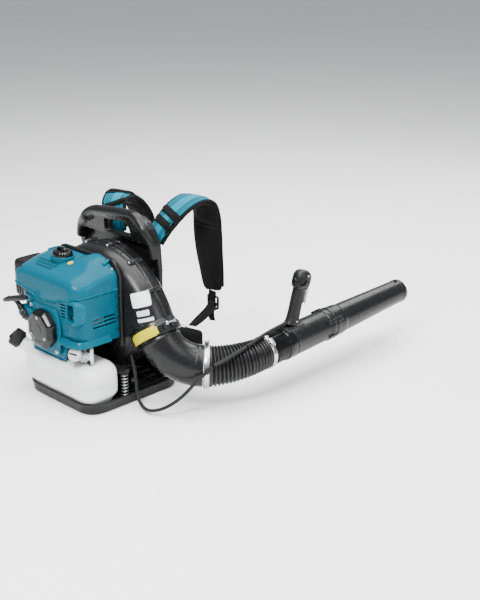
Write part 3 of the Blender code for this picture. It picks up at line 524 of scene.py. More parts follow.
def moulded(name, colour, rough, grain=1400.0, relief=0.10, coat=0.0, worn=None, variation=0.12, metal=0.0,
            gloss=0.24):
    """Moulded plastic: fine tool texture, uneven sheen, slight colour drift and paler worn edges."""
    g = Nodes(name)
    g.feed(Metallic=metal, Coat_Weight=coat, Coat_Roughness=0.08, Specular_IOR_Level=gloss)
    drift = g.noise(11.0, 4.0)
    cloud = g.noise(75.0, 5.0, 0.6)
    fine = g.noise(grain, 2.0)
    base = g.mix(g.spread(drift, 0.0, 1.0, 0.3, 0.7), tint(colour, 1 - variation),
                 tint(colour, 1 + variation))
    if worn:
        point = g.add("ShaderNodeNewGeometry").outputs["Pointiness"]
        edge = g.math("MULTIPLY", g.spread(point, 0.0, 0.55, 0.515, 0.60),
                      g.spread(cloud, 0.2, 1.0, 0.4, 0.6))
        base = g.mix(edge, base, worn)
    sheen = g.math("ADD", g.spread(cloud, -0.07, 0.07, 0.3, 0.7), rough)
    scuffs = g.noise(40.0, 6.0, 0.7, stretch=(1.0, 9.0, 3.0))
    sheen = g.math("ADD", sheen, g.spread(scuffs, 0.0, 0.10, 0.55, 0.75))
    normal = g.bump(fine, relief, 0.0003)
    normal = g.bump(drift, 0.04, 0.003, normal)
    return g.finish(base, sheen, normal)


def cast(name, colour, rough=0.46):
    """As-cast alloy: grainy skin with small pits and grey patches."""
    g = Nodes(name)
    g.feed(Metallic=0.85)
    patches, fine = g.noise(28.0, 5.0), g.noise(900.0, 3.0, 0.6)
    base = g.mix(g.spread(patches, 0.0, 1.0, 0.3, 0.7), tint(colour, 0.78), tint(colour, 1.08))
    voronoi = g.add("ShaderNodeTexVoronoi", {"Scale": 520.0})
    g.link(g.add("ShaderNodeTexCoord").outputs["Object"], voronoi.inputs["Vector"])
    normal = g.bump(fine, 0.25, 0.0004)
    normal = g.bump(voronoi.outputs["Distance"], 0.12, 0.0004, normal)
    return g.finish(base, g.math("ADD", g.spread(patches, -0.08, 0.1), rough), normal)


def bright(name, colour, rough=0.2, stretch=(1.0, 60.0, 1.0)):
    """Plated or turned steel with fine lines of polish."""
    g = Nodes(name)
    g.feed(Metallic=1.0, Anisotropic=0.3)
    lines = g.noise(70.0, 4.0, 0.6, stretch=stretch)
    stains = g.noise(45.0, 4.0)
    base = g.mix(g.spread(stains, 0.0, 1.0, 0.35, 0.75), colour, tint(colour, 0.80))
    sheen = g.math("ADD", g.spread(lines, -0.06, 0.12), rough)
    return g.finish(base, sheen, g.bump(lines, 0.06, 0.0002))


def rubbery(name, colour, rough=0.6):
    g = Nodes(name)
    g.feed(Specular_IOR_Level=0.30)
    dust, fine = g.noise(34.0, 5.0, 0.6), g.noise(1100.0, 2.0)
    base = g.mix(g.spread(dust, 0.0, 0.7, 0.45, 0.75), colour, tint(colour, 2.2))
    return g.finish(base, g.math("ADD", g.spread(dust, -0.06, 0.12), rough), g.bump(fine, 0.18, 0.0003))


def woven(name, colour, thread=900.0, sheen=0.25, mapped=True, variation=0.25, rough=0.8):
    """Plain weave: warp and weft take turns on top, on the strap's own UVs or in space."""
    g = Nodes(name)
    g.feed(Sheen_Weight=sheen, Sheen_Roughness=0.45, Specular_IOR_Level=0.10)
    if mapped:
        spot = g.add("ShaderNodeUVMap", uv_map="weave").outputs["UV"]
        axes = ("X", "Y")
    else:
        spot = g.add("ShaderNodeTexCoord").outputs["Object"]
        axes = ("X", "Z")
    waves = []
    for axis in axes:
        wave = g.add("ShaderNodeTexWave", {"Scale": thread / 20.0, "Distortion": 0.4, "Detail": 1.0},
                     wave_type="BANDS", bands_direction=axis)
        g.link(spot, wave.inputs["Vector"])
        waves.append(wave.outputs["Fac"])
    checker = g.add("ShaderNodeTexChecker", {"Scale": thread / 6.2832 * 2})
    g.link(spot, checker.inputs["Vector"])
    over = g.math("MULTIPLY", checker.outputs["Fac"], waves[0])
    under = g.math("MULTIPLY", g.math("SUBTRACT", 1.0, checker.outputs["Fac"]), waves[1])
    height = g.math("ADD", over, under)
    fade, fuzz = g.noise(22.0, 5.0, 0.6), g.noise(700.0, 3.0)
    base = g.mix(g.spread(height, 0.0, 1.0), tint(colour, 0.62), tint(colour, 1.12))
    base = g.mix(g.spread(fade, 0.0, variation, 0.4, 0.75), base, tint(colour, 1.9))
    normal = g.bump(height, 0.5, 0.0006)
    normal = g.bump(fuzz, 0.25, 0.0005, normal)
    return g.finish(base, g.math("ADD", g.spread(fade, -0.08, 0.08), rough), normal)


def milky(name):
    """Blow-moulded tank: light passes a little way in, and the skin is faintly orange-peeled."""
    g = Nodes(name)
    g.feed(Subsurface_Weight=0.30, Subsurface_Scale=0.012, Coat_Weight=0.15, Coat_Roughness=0.2)
    g.shader.inputs["Subsurface Radius"].default_value = (1.0, 0.95, 0.85)
    drift, peel = g.noise(9.0, 3.0), g.noise(260.0, 2.0)
    base = g.mix(g.spread(drift, 0.0, 1.0, 0.35, 0.7), (0.80, 0.81, 0.80), (0.70, 0.72, 0.71))
    rough = g.math("ADD", g.spread(drift, -0.05, 0.06), 0.34)
    return g.finish(base, rough, g.bump(peel, 0.10, 0.0008))


def printed(name, colour):
    """A blank sticker: satin film with a faint paper mottle."""
    g = Nodes(name)
    g.feed(Coat_Weight=0.08, Coat_Roughness=0.15, Specular_IOR_Level=0.15)
    mottle = g.noise(180.0, 3.0)
    base = g.mix(g.spread(mottle, 0.0, 1.0, 0.35, 0.7), tint(colour, 0.95), colour)
    return g.finish(base, g.math("ADD", g.spread(mottle, -0.04, 0.04), 0.35), g.bump(mottle, 0.05, 0.0003))


M = {
    "black": moulded("black_plastic", (0.0040, 0.0040, 0.0043), 0.40, worn=(0.022, 0.022, 0.023)),
    "satin": moulded("dark_plastic", (0.0060, 0.0060, 0.0064), 0.29, grain=2200.0, relief=0.05,
                     worn=(0.028, 0.028, 0.030)),
    "glossy": moulded("gloss_black", (0.0030, 0.0030, 0.0033), 0.16, grain=2600.0, relief=0.03,
                      worn=(0.018, 0.018, 0.018)),
    "textured": moulded("textured_black", (0.0045, 0.0045, 0.0048), 0.55, grain=520.0, relief=0.55),
    "teal": moulded("teal_plastic", (0.0, 0.068, 0.106), 0.26, grain=2400.0, relief=0.03, coat=0.04,
                    gloss=0.06, worn=(0.0, 0.15, 0.21), variation=0.05),
    "light": moulded("light_plastic", (0.52, 0.53, 0.54), 0.38, worn=(0.7, 0.7, 0.7)),
    "white_rope": moulded("rope_core", (0.62, 0.60, 0.55), 0.8, grain=600.0, relief=0.5),
    # painted shade: near-black filler for slots and for the shade inside the cowl
    "hole": moulded("deep_shade", (0.004, 0.005, 0.006), 0.7),
    # painted shade: a darker teal given to the hood's slits and to the insides of the cowl's louvres, port,
    # slots and openings
    "teal_painted_shade": moulded("teal_shade", (0.0, 0.030, 0.045), 0.6),
    "tank": milky("tank_plastic"),
    "alloy": cast("cast_alloy", (0.60, 0.61, 0.62)),
    "pale_alloy": cast("pale_alloy", (0.74, 0.74, 0.75), 0.38),
    "steel": bright("bare_steel", (0.42, 0.43, 0.44), 0.33),
    "zinc": bright("zinc_steel", (0.52, 0.52, 0.53), 0.27, stretch=(1.0, 1.0, 40.0)),
    "rubber": rubbery("black_rubber", (0.0042, 0.0042, 0.0045)),
    "hose": rubbery("hose_rubber", (0.0045, 0.0045, 0.0048), 0.32),
    "foam": woven("filter_foam", (0.28, 0.26, 0.20), 500.0, 0.1, mapped=False),
    "cloth": woven("black_cloth", (0.0036, 0.0036, 0.0039), 1500.0, 0.04, mapped=False, variation=0.10),
    "strap": woven("black_webbing", (0.0034, 0.0034, 0.0037), 1300.0, 0.04, variation=0.10),
    "teal_cloth": woven("teal_webbing", (0.0, 0.088, 0.130), 1300.0, 0.06, variation=0.10),
    "teal_band": woven("teal_band", (0.001, 0.165, 0.240), 1300.0, 0.06, variation=0.08, rough=0.6),
    "thread": woven("thread", (0.035, 0.035, 0.038), 2000.0, 0.2, mapped=False),
    "teal_thread": woven("teal_thread", (0.01, 0.30, 0.40), 2000.0, 0.2, mapped=False),
    "label": printed("blank_label", (0.80, 0.81, 0.82)),
    "grey_label": printed("grey_label", (0.55, 0.56, 0.58)),
    "yellow_label": printed("yellow_label", (0.46, 0.40, 0.0)),
}


# ---- cords come first ----
def cable_piece(name, route):
    points = smooth_route(route, 0.004)
    return rod(name, points, CABLE_R, 14, M["rubber"]), points


def make_cords():
    """The throttle cable: a slack loop, and three stretches clipped along the hose and tube."""
    loop, points = cable_piece("cable_loop", CABLE_LOOP)
    place_piece(loop, "blower", "throttle_cable_loop")
    route_length(points)
    [tuple(p) for p in points]
    for name, route, *bodies in (("rear", CABLE_REAR, "blower", "hose_middle"),
                                 ("front", CABLE_FRONT, "hose_middle", "hose_end"),
                                 ("end", CABLE_END, "hose_end", "control")):
        piece, _ = cable_piece("cable_" + name, route)
        place_across(piece, *bodies, route[0], route[-1], "throttle_cable_" + name)


make_cords()


# ---- base, frame ----
def rounded_rectangle(x_low, x_high, y_low, y_high, radius, steps=8):
    return fillet([(x_low, y_low, radius), (x_high, y_low, radius), (x_high, y_high, radius),
                   (x_low, y_high, radius)], steps)


def flat_ring(outline, z):
    return [V((p[0], p[1], z)) for p in outline]


def make_base():
    """A tray whose wall flares to a rolled lip, with ribs across its floor."""
    rings = []
    for grow, z in ((-0.004, 0.006), (-0.0012, 0.0075), (0.0, 0.011), (0.0008, 0.027), (0.0022, 0.0296),
                    (0.0045, 0.0300), (0.0070, 0.0296), (0.0080, 0.0280), (0.0078, 0.0262), (0.0060, 0.0245),
                    (0.0048, 0.0225), (0.0040, 0.0080), (0.0030, 0.0030), (0.0005, 0.0008), (-0.003, 0.0)):
        rings.append(flat_ring(rounded_rectangle(-0.137 - grow, 0.137 + grow, -0.152 - grow, 0.152 + grow,
                                                 0.052 + grow, 10), z))
    parts = [loft("tray", rings, M["black"], sharp=40)]
    for x in (-0.105, -0.07, -0.035, 0.0, 0.035, 0.07, 0.105):
        parts.append(rounded_block("rib", (x - 0.0015, -0.045, 0.005), (x + 0.0015, 0.145, 0.017), 0.0006,
                                   M["black"], 1))
    for y in (-0.045, 0.0, 0.05, 0.10):
        parts.append(rounded_block("rib", (-0.13, y - 0.0015, 0.005), (0.13, y + 0.0015, 0.014), 0.0006,
                                   M["black"], 1))
    cup = soft_profile([(0.013, 0.004), (0.0165, 0.004), (0.0165, 0.014), (0.0135, 0.014)], 0.001,
                       closed=True)
    parts += [turned("cup", cup, M["black"], move(x, DAMPER_Y, 0.0), 32, hollow=True) for x in (-DAMPER_X,
                                                                                                DAMPER_X)]
    for x, y in ((-0.10, 0.13), (0.10, 0.13), (-0.06, 0.05), (0.06, 0.05)):
        parts.append(screw(0.006, move(x, y, 0.0175), M["steel"], 0.010))
    assemble("base_tray", parts, "blower", "base_plate")


def screw(radius, place, mat, length=0.004):
    """A pan-head screw with a hexagon socket; its head stands on +Z."""
    profile = soft_profile([(0.0, -length), (radius * 0.55, -length), (radius * 0.55, 0.0),
                            (radius * 1.25, 0.0), (radius * 1.25, radius * 0.15), (radius, radius * 0.2),
                            (radius * 0.95, radius * 0.75), (radius * 0.45, radius * 0.85)], radius * 0.12, 2)
    profile = [(max(r, POINT), h) for r, h in profile] + [(radius * 0.42, radius * 0.35),
                                                          (POINT, radius * 0.33)]
    return turned("screw", profile, mat, place, 24, sharp=40)


def lean(z):
    shift = 0.0
    for start, height in ((0.315, 0.05), (0.405, 0.030)):
        shift -= 0.006 * ramp((z - start) / height)
    return shift


def frame_edges():
    """The frame's right and left profiles, as (x, z), from foot to handle."""
    right = [(0.113, 0.031), (0.115, 0.12), (0.117, 0.21), (0.119, 0.315), (0.122, 0.366), (0.121, 0.405),
             (0.109, 0.440), (0.092, 0.466), (0.068, 0.482)]
    left = [(-0.143, 0.031), (-0.153, 0.12), (-0.175, 0.21), (-0.198, 0.315), (-0.207, 0.366),
            (-0.194, 0.405), (-0.165, 0.436), (-0.151, 0.456), (-0.122, 0.469)]
    return right, left


def prism(name, outline, near, far, mat):
    """A plate between two depths, near(x, z) and far(x, z), from an outline in (x, z)."""
    bm = bmesh.new()
    skin(bm, [[bm.verts.new((x, depth(z), z)) for x, z in outline] for depth in (near, far)])
    bmesh.ops.triangulate(bm, faces=bm.faces[:])
    return from_bm(name, bm, mat)


def plank(low, high, mat, tilt=0.0):
    """A sharp-edged bar whose top and bottom rise by tilt along X."""
    bm = cube_between(low, high)
    for v in bm.verts:
        v.co.z += tilt * (v.co.x - low[0]) / (high[0] - low[0])
    return from_bm("plank", bm, mat)


def make_back_frame():
    """Handle arch, side rails, recessed panel and ribs, moulded as one."""
    right, left = frame_edges()
    m = M["satin"]
    inner_right = [(x - 0.0115, z - (0.011 if z > 0.46 else 0.004 if z > 0.43 else 0.0)) for x, z in right]
    inner_left = [(x + 0.0115, z - (0.011 if z > 0.45 else 0.004 if z > 0.43 else 0.0)) for x, z in left]
    arch = [(x, z) for x, z in inner_left if z > 0.36] + [(-0.07, 0.4635), (-0.02, 0.469), (0.02, 0.4715)]
    arch += [(x, z) for x, z in inner_right[::-1] if z > 0.36]
    path = smooth_route([(x, 0.1 + lean(z) - 0.010 * ramp((z - 0.39) / 0.03), z) for x, z in arch], 0.006)

    def bar(k):
        return oval(24, 0.0155, 0.0125 + 0.0015 * math.sin(math.pi * k / len(path)))
    solids = [sweep("arch", path, bar, m)]
    for profile in (inner_right[:6], inner_left[:6]):
        rail = smooth_route([(x, 0.1080 + lean(z), z) for x, z in profile], 0.006)
        solids.append(sweep("rail", rail, oval(20, 0.0085, 0.0140, 0.7), m))

    panel = right[:6] + [(0.098, 0.432), (0.05, 0.44), (-0.1, 0.435), (-0.152, 0.425)] + left[5::-1]
    solids.append(prism("panel", panel, lambda z: 0.1135 + lean(z), lambda z: 0.1175 + lean(z), m))
    crown = [(0.120, 0.400), (0.114, 0.425), (0.106, 0.443), (0.090, 0.460), (0.062, 0.470), (-0.118, 0.458),
             (-0.148, 0.447), (-0.168, 0.428), (-0.196, 0.400)]
    solids.append(prism("crown", crown, lambda z: 0.0935 + lean(z) - 0.010 * ramp((z - 0.39) / 0.03),
                        lambda z: 0.1175 + lean(z), m))
    solids.append(plank((-0.196, 0.084, 0.3965), (0.116, 0.108, 0.4025), m, 0.006))
    solids.append(plank((-0.190, 0.086, 0.3965), (-0.172, 0.108, 0.424), m))
    solids.append(plank((0.092, 0.086, 0.400), (0.110, 0.108, 0.432), m))
    solids += [plank((-0.16, 0.1075, z), (0.11, 0.1155, z + 0.004), m) for z in (0.31, 0.22, 0.135, 0.06)]
    solids += [plank((x, 0.1085, 0.035), (x + 0.004, 0.1155, 0.31), m) for x in (-0.11, -0.03, 0.05)]
    bosses = ((-0.120, 0.300), (0.060, 0.330), (-0.100, 0.120), (0.050, 0.130))
    for x, z in bosses:
        solids.append(turned("boss", [(0.0098, 0.0), (0.0095, 0.026)], m, aim((x, 0.0868, z), (0, 1, 0)), 24))
    body = melt("frame_body", solids, m, 0.0021, 7)

    opening = fillet([(-0.078, 0.4045, 0.012), (0.036, 0.4095, 0.010), (0.030, 0.436, 0.012),
                      (0.018, 0.4500, 0.010), (-0.070, 0.4440, 0.012)], 6)
    windows = [rounded_rectangle(*xs, 0.235, 0.295, 0.010, 4) for xs in ((0.052, 0.096), (-0.150, -0.112))]
    carve(body, [slab("opening", outline, -0.1, 0.4, m, 0.0001, 1) for outline in [opening] + windows],
          sharp=None)
    parts = [body]
    grip_dot = soft_profile([(0.0019, -0.004), (0.0019, 0.0009), (0.0010, 0.0015)], 0.0004, 2)
    for cx, cz in ((-0.138, 0.434), (0.060, 0.4440)):
        for i in range(4):
            for k in range(4):
                spot = move(cx - 0.009 + i * 0.006 + (k % 2) * 0.003, 0.071, cz - 0.008 + k * 0.0052)
                parts.append(turned("dot", grip_dot, m, spot @ aim((0, 0, 0), (0, -1, 0.12)), 10))
    parts += [screw(0.0045, aim((x, 0.1182 + lean(z), z), (0, 1, 0)), M["steel"]) for x, z in bosses]
    assemble("frame_moulding", parts, "blower", "back_frame", sharp=None)


make_base()
make_back_frame()


# ---- fan housing ----
def scroll_point(u):
    """Where the fan housing's wall runs, as (x, z), and its inward normal."""
    def at(v):
        radius = SCROLL_START + SCROLL_GROWTH * v + SCROLL_FLARE * max(0.0, v) ** SCROLL_POWER
        angle = SCROLL_FIRST - (2 * math.pi - (SCROLL_LAST - SCROLL_FIRST)) * v
        return V((CRANK.x + radius * math.cos(angle), CRANK.z + radius * math.sin(angle)))
    along = (at(u + 0.002) - at(u - 0.002)).normalized()
    return at(u), V((along.y, -along.x))


def mouth_axes():
    inner, outer = scroll_point(0.0)[0], scroll_point(1.0)[0]
    across = (outer - inner).normalized()
    return (inner + outer) / 2, across, V((across.y, -across.x))


def scroll_station(u):
    """(outline point, inward normal, largest corner radius) with the duct's mouth rounded."""
    point, normal = scroll_point(u)
    across = mouth_axes()[1]
    late = ramp((u - 0.90) / 0.10)
    normal = (normal * (1 - late) - across * late).normalized()
    radius = 0.026 + 0.020 * ramp((u - 0.72) / 0.28) - 0.006 * ramp((0.06 - u) / 0.06)
    return point, normal, radius


def volute_half(name, face_y, hole, mat):
    """One half of the fan housing: a flanged shell with a rounded shoulder and a round opening."""
    depth = abs(face_y - FAN_Y)
    sign = 1.0 if face_y > FAN_Y else -1.0
    count, mouth_points = 132, 9
    stations = [scroll_station(i / (count - 1)) for i in range(count)]
    corner_in, corner_out = stations[0], stations[-1]
    for k in range(1, mouth_points + 1):
        t = k / (mouth_points + 1)
        stations.append((corner_out[0].lerp(corner_in[0], t), corner_out[1].lerp(corner_in[1], t) * 0.9,
                         corner_out[2] * (1 - t) + corner_in[2] * t))

    def ring(level, distance):
        spots = [(point + normal * distance(radius), level(radius)) for point, normal, radius in stations]
        return [V((spot.x, FAN_Y + sign * rise, spot.y)) for spot, rise in spots]

    def flat(level, distance):
        return ring(lambda r: level, lambda r: distance)

    def shoulder(share, wall):
        a = math.pi / 2 * share
        return ring(lambda r: depth - wall - (r - wall) * (1 - math.sin(a)),
                    lambda r: (r - wall) * (1 - math.cos(a)) + wall)

    def round_ring(radius, level):
        spots = []
        for point, _, _ in stations:
            away = (point - V((CRANK.x, CRANK.z))).normalized() * radius
            spots.append(V((CRANK.x + away.x, FAN_Y + sign * level, CRANK.z + away.y)))
        return spots
    flange = ((0.0002, -0.0045), (0.0030, -0.0045), (0.0038, -0.0038), (0.0042, -0.0006), (0.0050, 0.0))
    mouth = ((hole + 0.040, depth), (hole + 0.0385, depth - 0.0012), (hole + 0.010, depth - 0.0016),
             (hole + 0.004, depth + 0.001), (hole, depth), (hole, depth - 0.003),
             (hole + 0.03, depth - 0.004))
    rings = [flat(*spot) for spot in flange] + [shoulder(k / 8, 0.0) for k in range(9)]
    rings += [round_ring(*spot) for spot in mouth] + [shoulder(k / 8, 0.003) for k in (8, 4, 0)]
    return loft(name, rings + [flat(0.0002, 0.003)], mat, closed=True, sharp=38)



def make_volute():
    for name, face_y, hole in (("volute_front", -0.020, 0.030), ("volute_rear", 0.086, 0.075)):
        sign = 1.0 if face_y > FAN_Y else -1.0
        parts = [volute_half(name + "_shell", face_y, hole, M["satin"])]
        boss = soft_profile([(0.0078, 0.0), (0.0074, 0.017), (0.0050, 0.0175)], 0.0012, 3)
        for u in FLANGE_SCREWS:
            point, normal, _ = scroll_station(u)
            spot = point - normal * 0.0015
            parts.append(turned("boss", boss, M["satin"], aim((spot.x, FAN_Y + sign * 0.0008, spot.y),
                                                              (0, sign, 0)), 28))
            parts.append(screw(0.0042, aim((spot.x, FAN_Y + sign * 0.0182, spot.y), (0, sign, 0)),
                               M["steel"]))
        for u, high in ((0.66, 0.040), (0.76, 0.040), (0.84, 0.038)) if sign < 0 else ():
            point, normal, _ = scroll_station(u)
            near, far = point + normal * 0.001, point + normal * 0.02
            path = [V((near.x, FAN_Y - 0.004, near.y)), V((near.x, FAN_Y - high * 0.45, near.y)),
                    V((far.x, FAN_Y - high, far.y))]
            parts.append(rod("rib", smooth_route(path, 0.006), 0.0016, 10, M["satin"]))
        assemble(name + "_looks", parts, "blower", name, sharp=38)


def make_shroud():
    """The black baffle that closes the gap between the covers and the fan housing."""
    outline = fillet([(-0.150, 0.150, 0.02), (0.116, 0.150, 0.012), (0.1200, 0.182, 0.010),
                      (0.1210, 0.345, 0.03), (0.098, 0.385, 0.03), (-0.120, 0.385, 0.04),
                      (-0.160, 0.350, 0.04)], 6)
    plate = slab("baffle", outline, -0.0300, -0.0204, M["black"], 0.0025)
    ribs = [plate]
    for z in (0.205, 0.235, 0.265, 0.295):
        ribs.append(rounded_block("rib", (0.1130, -0.0400, z), (0.1180, -0.0205, z + 0.003), 0.001,
                                  M["black"], 2))
    assemble("baffle_plate", ribs, "blower", slot="volute_front")


def stick(name, target, centre, direction, right, width, height, mat, corner=0.003):
    """A thin sticker laid on a surface where the given ray meets it; it stops where the surface does."""
    tree = surface_of(target)
    direction = V(direction).normalized()
    right = (V(right) - direction * V(right).dot(direction)).normalized()
    up = right.cross(direction).normalized()
    across, along = 22, 12
    middle = tree.ray_cast(V(centre) - direction * STANDOFF, direction)[3] or STANDOFF
    bm = bmesh.new()
    rows = []
    for j in range(along + 1):
        row = []
        for i in range(across + 1):
            a, b = (i / across - 0.5) * 2, (j / along - 0.5) * 2
            trim = 1 - (corner / width if abs(b) > 0.99 and abs(a) > 0.99 else 0.0)
            start = V(centre) - direction * STANDOFF
            start += right * (a * width / 2 * trim) + up * (b * height / 2 * trim)
            hit, _, _, depth = tree.ray_cast(start, direction)
            kept = hit is not None and abs(depth - middle) < 0.4 * STANDOFF
            row.append(bm.verts.new(hit - direction * 0.0006) if kept else None)
        rows.append(row)
    for near, far in zip(rows, rows[1:]):
        for i in range(across):
            corners = (near[i], near[i + 1], far[i + 1], far[i])
            if all(corners):
                bm.faces.new(corners)
    bmesh.ops.delete(bm, geom=[v for v in bm.verts if not v.link_faces], context="VERTS")
    obj = from_bm(name, bm, mat, None)
    film = obj.modifiers.new("film", "SOLIDIFY")
    film.thickness, film.offset = 0.0004, 0.0
    return bake(obj, None)


def make_labels():
    """Blank stickers where the housing carries its plates."""
    housing = bpy.data.objects["volute_front_looks"]
    toward, right = V((-0.62, 0.74, -0.22)), V((0.80, 0.60, 0.26))
    spots = (("label_top", (0.163, 0.004, 0.290), 0.050, 0.038, "label"),
             ("label_middle", (0.171, 0.006, 0.256), 0.034, 0.014, "grey_label"),
             ("label_low", (0.179, 0.008, 0.240), 0.044, 0.009, "grey_label"))
    for name, centre, width, height, finish in spots:
        sticker = stick(name, housing, centre, toward, right, width, height, M[finish])
        place_piece(sticker, "blower", slot="volute_front")


make_volute()
make_shroud()
make_labels()


# ---- engine covers ----
def roof(x, y):
    """Height of the engine cover's top."""
    levels = ((-0.160, 0.349), (-0.140, 0.3545), (-0.120, 0.3600), (-0.090, 0.3690), (-0.050, 0.3760),
              (-0.020, 0.3790))
    height = levels[-1][1]
    for (y0, z0), (y1, z1) in zip(levels, levels[1:]):
        if y < y1:
            height = z0 + (z1 - z0) * max(0.0, (y - y0) / (y1 - y0))
            break
    height -= 0.013 * ramp((-0.110 - x) / 0.056)
    height -= 0.017 * ramp((x - 0.066) / 0.044)
    hump = ramp(1 - abs(x - 0.040) / 0.058) * ramp((y + 0.108) / 0.045)
    return height + 0.0150 * hump


def seam(x):
    levels = ((-0.166, 0.300), (-0.107, 0.293), (-0.047, 0.279), (0.006, 0.284), (0.050, 0.297),
              (0.093, 0.309), (0.112, 0.312))
    for (x0, z0), (x1, z1) in zip(levels, levels[1:]):
        if x <= x1:
            return z0 + (z1 - z0) * ramp((x - x0) / (x1 - x0))
    return levels[-1][1]


def densify(points, gap):
    """Points about a gap apart along a closed outline."""
    made = []
    for here, there in zip(points, points[1:] + points[:1]):
        steps = max(1, round((there - here).length / gap))
        made += [here.lerp(there, k / steps) for k in range(steps)]
    return made


def dense_rectangle(x_low, x_high, y_low, y_high, radii, gap=0.006):
    """A rounded rectangle with evenly spaced points, so that surfaces over it can curve."""
    corners = zip((x_low, x_high, x_high, x_low), (y_low, y_low, y_high, y_high), radii)
    return densify(fillet(list(corners), 8), gap)


def make_upper_cover():
    """The teal hood: a thin shell from the wavy seam up over a rounded shoulder, with slits and a lip."""
    outline = dense_rectangle(*COVER_X, *COVER_Y, (0.022, 0.046, 0.012, 0.016))
    shoulder, wall = 0.018, 0.003
    centre = V((-0.028, -0.080))

    def ring(points, height):
        return [V((p.x, p.y, height(p))) for p in points]

    def levels(thin):
        reach = shoulder - thin
        foot = inset(outline, thin)
        made = [ring(foot, lambda p: seam(p.x) + 0.0006),
                ring(foot, lambda p: 0.6 * seam(p.x) + 0.4 * max(seam(p.x) + 0.004,
                                                                 roof(p.x, p.y) - shoulder))]
        for k in range(8):
            a = math.pi / 2 * k / 7
            made.append(ring(inset(outline, thin + reach * (1 - math.cos(a))),
                             lambda p: max(roof(p.x, p.y) - thin - reach * (1 - math.sin(a)),
                                           seam(p.x) + 0.003 + 0.0005 * k)))
        rim = inset(outline, shoulder)
        for t in (0.12, 0.25, 0.4, 0.55, 0.7, 0.85, 0.96):
            made.append(ring([p.lerp(centre, t) for p in rim], lambda p: roof(p.x, p.y) - thin))
        return made

    def on_roof(spots, lift, spacing=0.004):
        return smooth_route([V((x, y, roof(x, y) + lift)) for x, y in spots], spacing)
    parts = [loft("hood", levels(wall)[::-1] + levels(0.0), M["teal"], sharp=34)]
    # each slit is a rod of painted shade in darker teal between two teal ridges, not a cut
    for x_low, x_high, y in ((-0.112, -0.030, -0.1085), (-0.106, -0.024, -0.1195), (-0.096, -0.028, -0.1305)):
        for shift, half, mat in ((0.0, 0.0022, "teal_painted_shade"), (-0.0030, 0.0009, "teal"),
                                 (0.0030, 0.0009, "teal")):
            line = [x_low + (x_high - x_low) * k / 16 for k in range(17)]
            path = [V((x, y + shift, roof(x, y + shift) + 0.0003)) for x in line]
            parts.append(sweep("slit", path, oval(12, half, 0.0009), M[mat]))
    lip = [V((p.x, p.y, seam(p.x) + 0.0010)) for p in inset(outline, -0.0008)]
    parts.append(bead("lip", lip, 0.0023, M["teal"]))
    for x, y in ((0.094, -0.034), (-0.146, -0.036)):
        parts.append(screw(0.0048, move(x, y, roof(x, y) - 0.0035), M["steel"]))
    crease = smooth_route([(0.045, -0.1485, 0.0), (0.066, -0.146, 0.0), (0.086, -0.141, 0.0),
                           (0.100, -0.128, 0.0)],
                          0.004)
    parts.append(rod("crease", [V((x, y, roof(x, y) - 0.0035)) for x, y, _ in crease], 0.0022, 10, M["teal"]))
    roll = on_roof(((-0.150, -0.052), (-0.140, -0.045), (-0.118, -0.040), (-0.098, -0.038)), -0.0022)
    parts.append(rod("roll", roll, 0.0062, 20, M["teal"]))
    hinge = on_roof(((0.076, -0.030), (0.079, -0.040), (0.080, -0.050)), 0.0004, 0.003)
    parts.append(rod("hinge", hinge, 0.0048, 16, M["teal"]))
    assemble("upper_cover", parts, "blower", "engine_cover_upper", sharp=34)


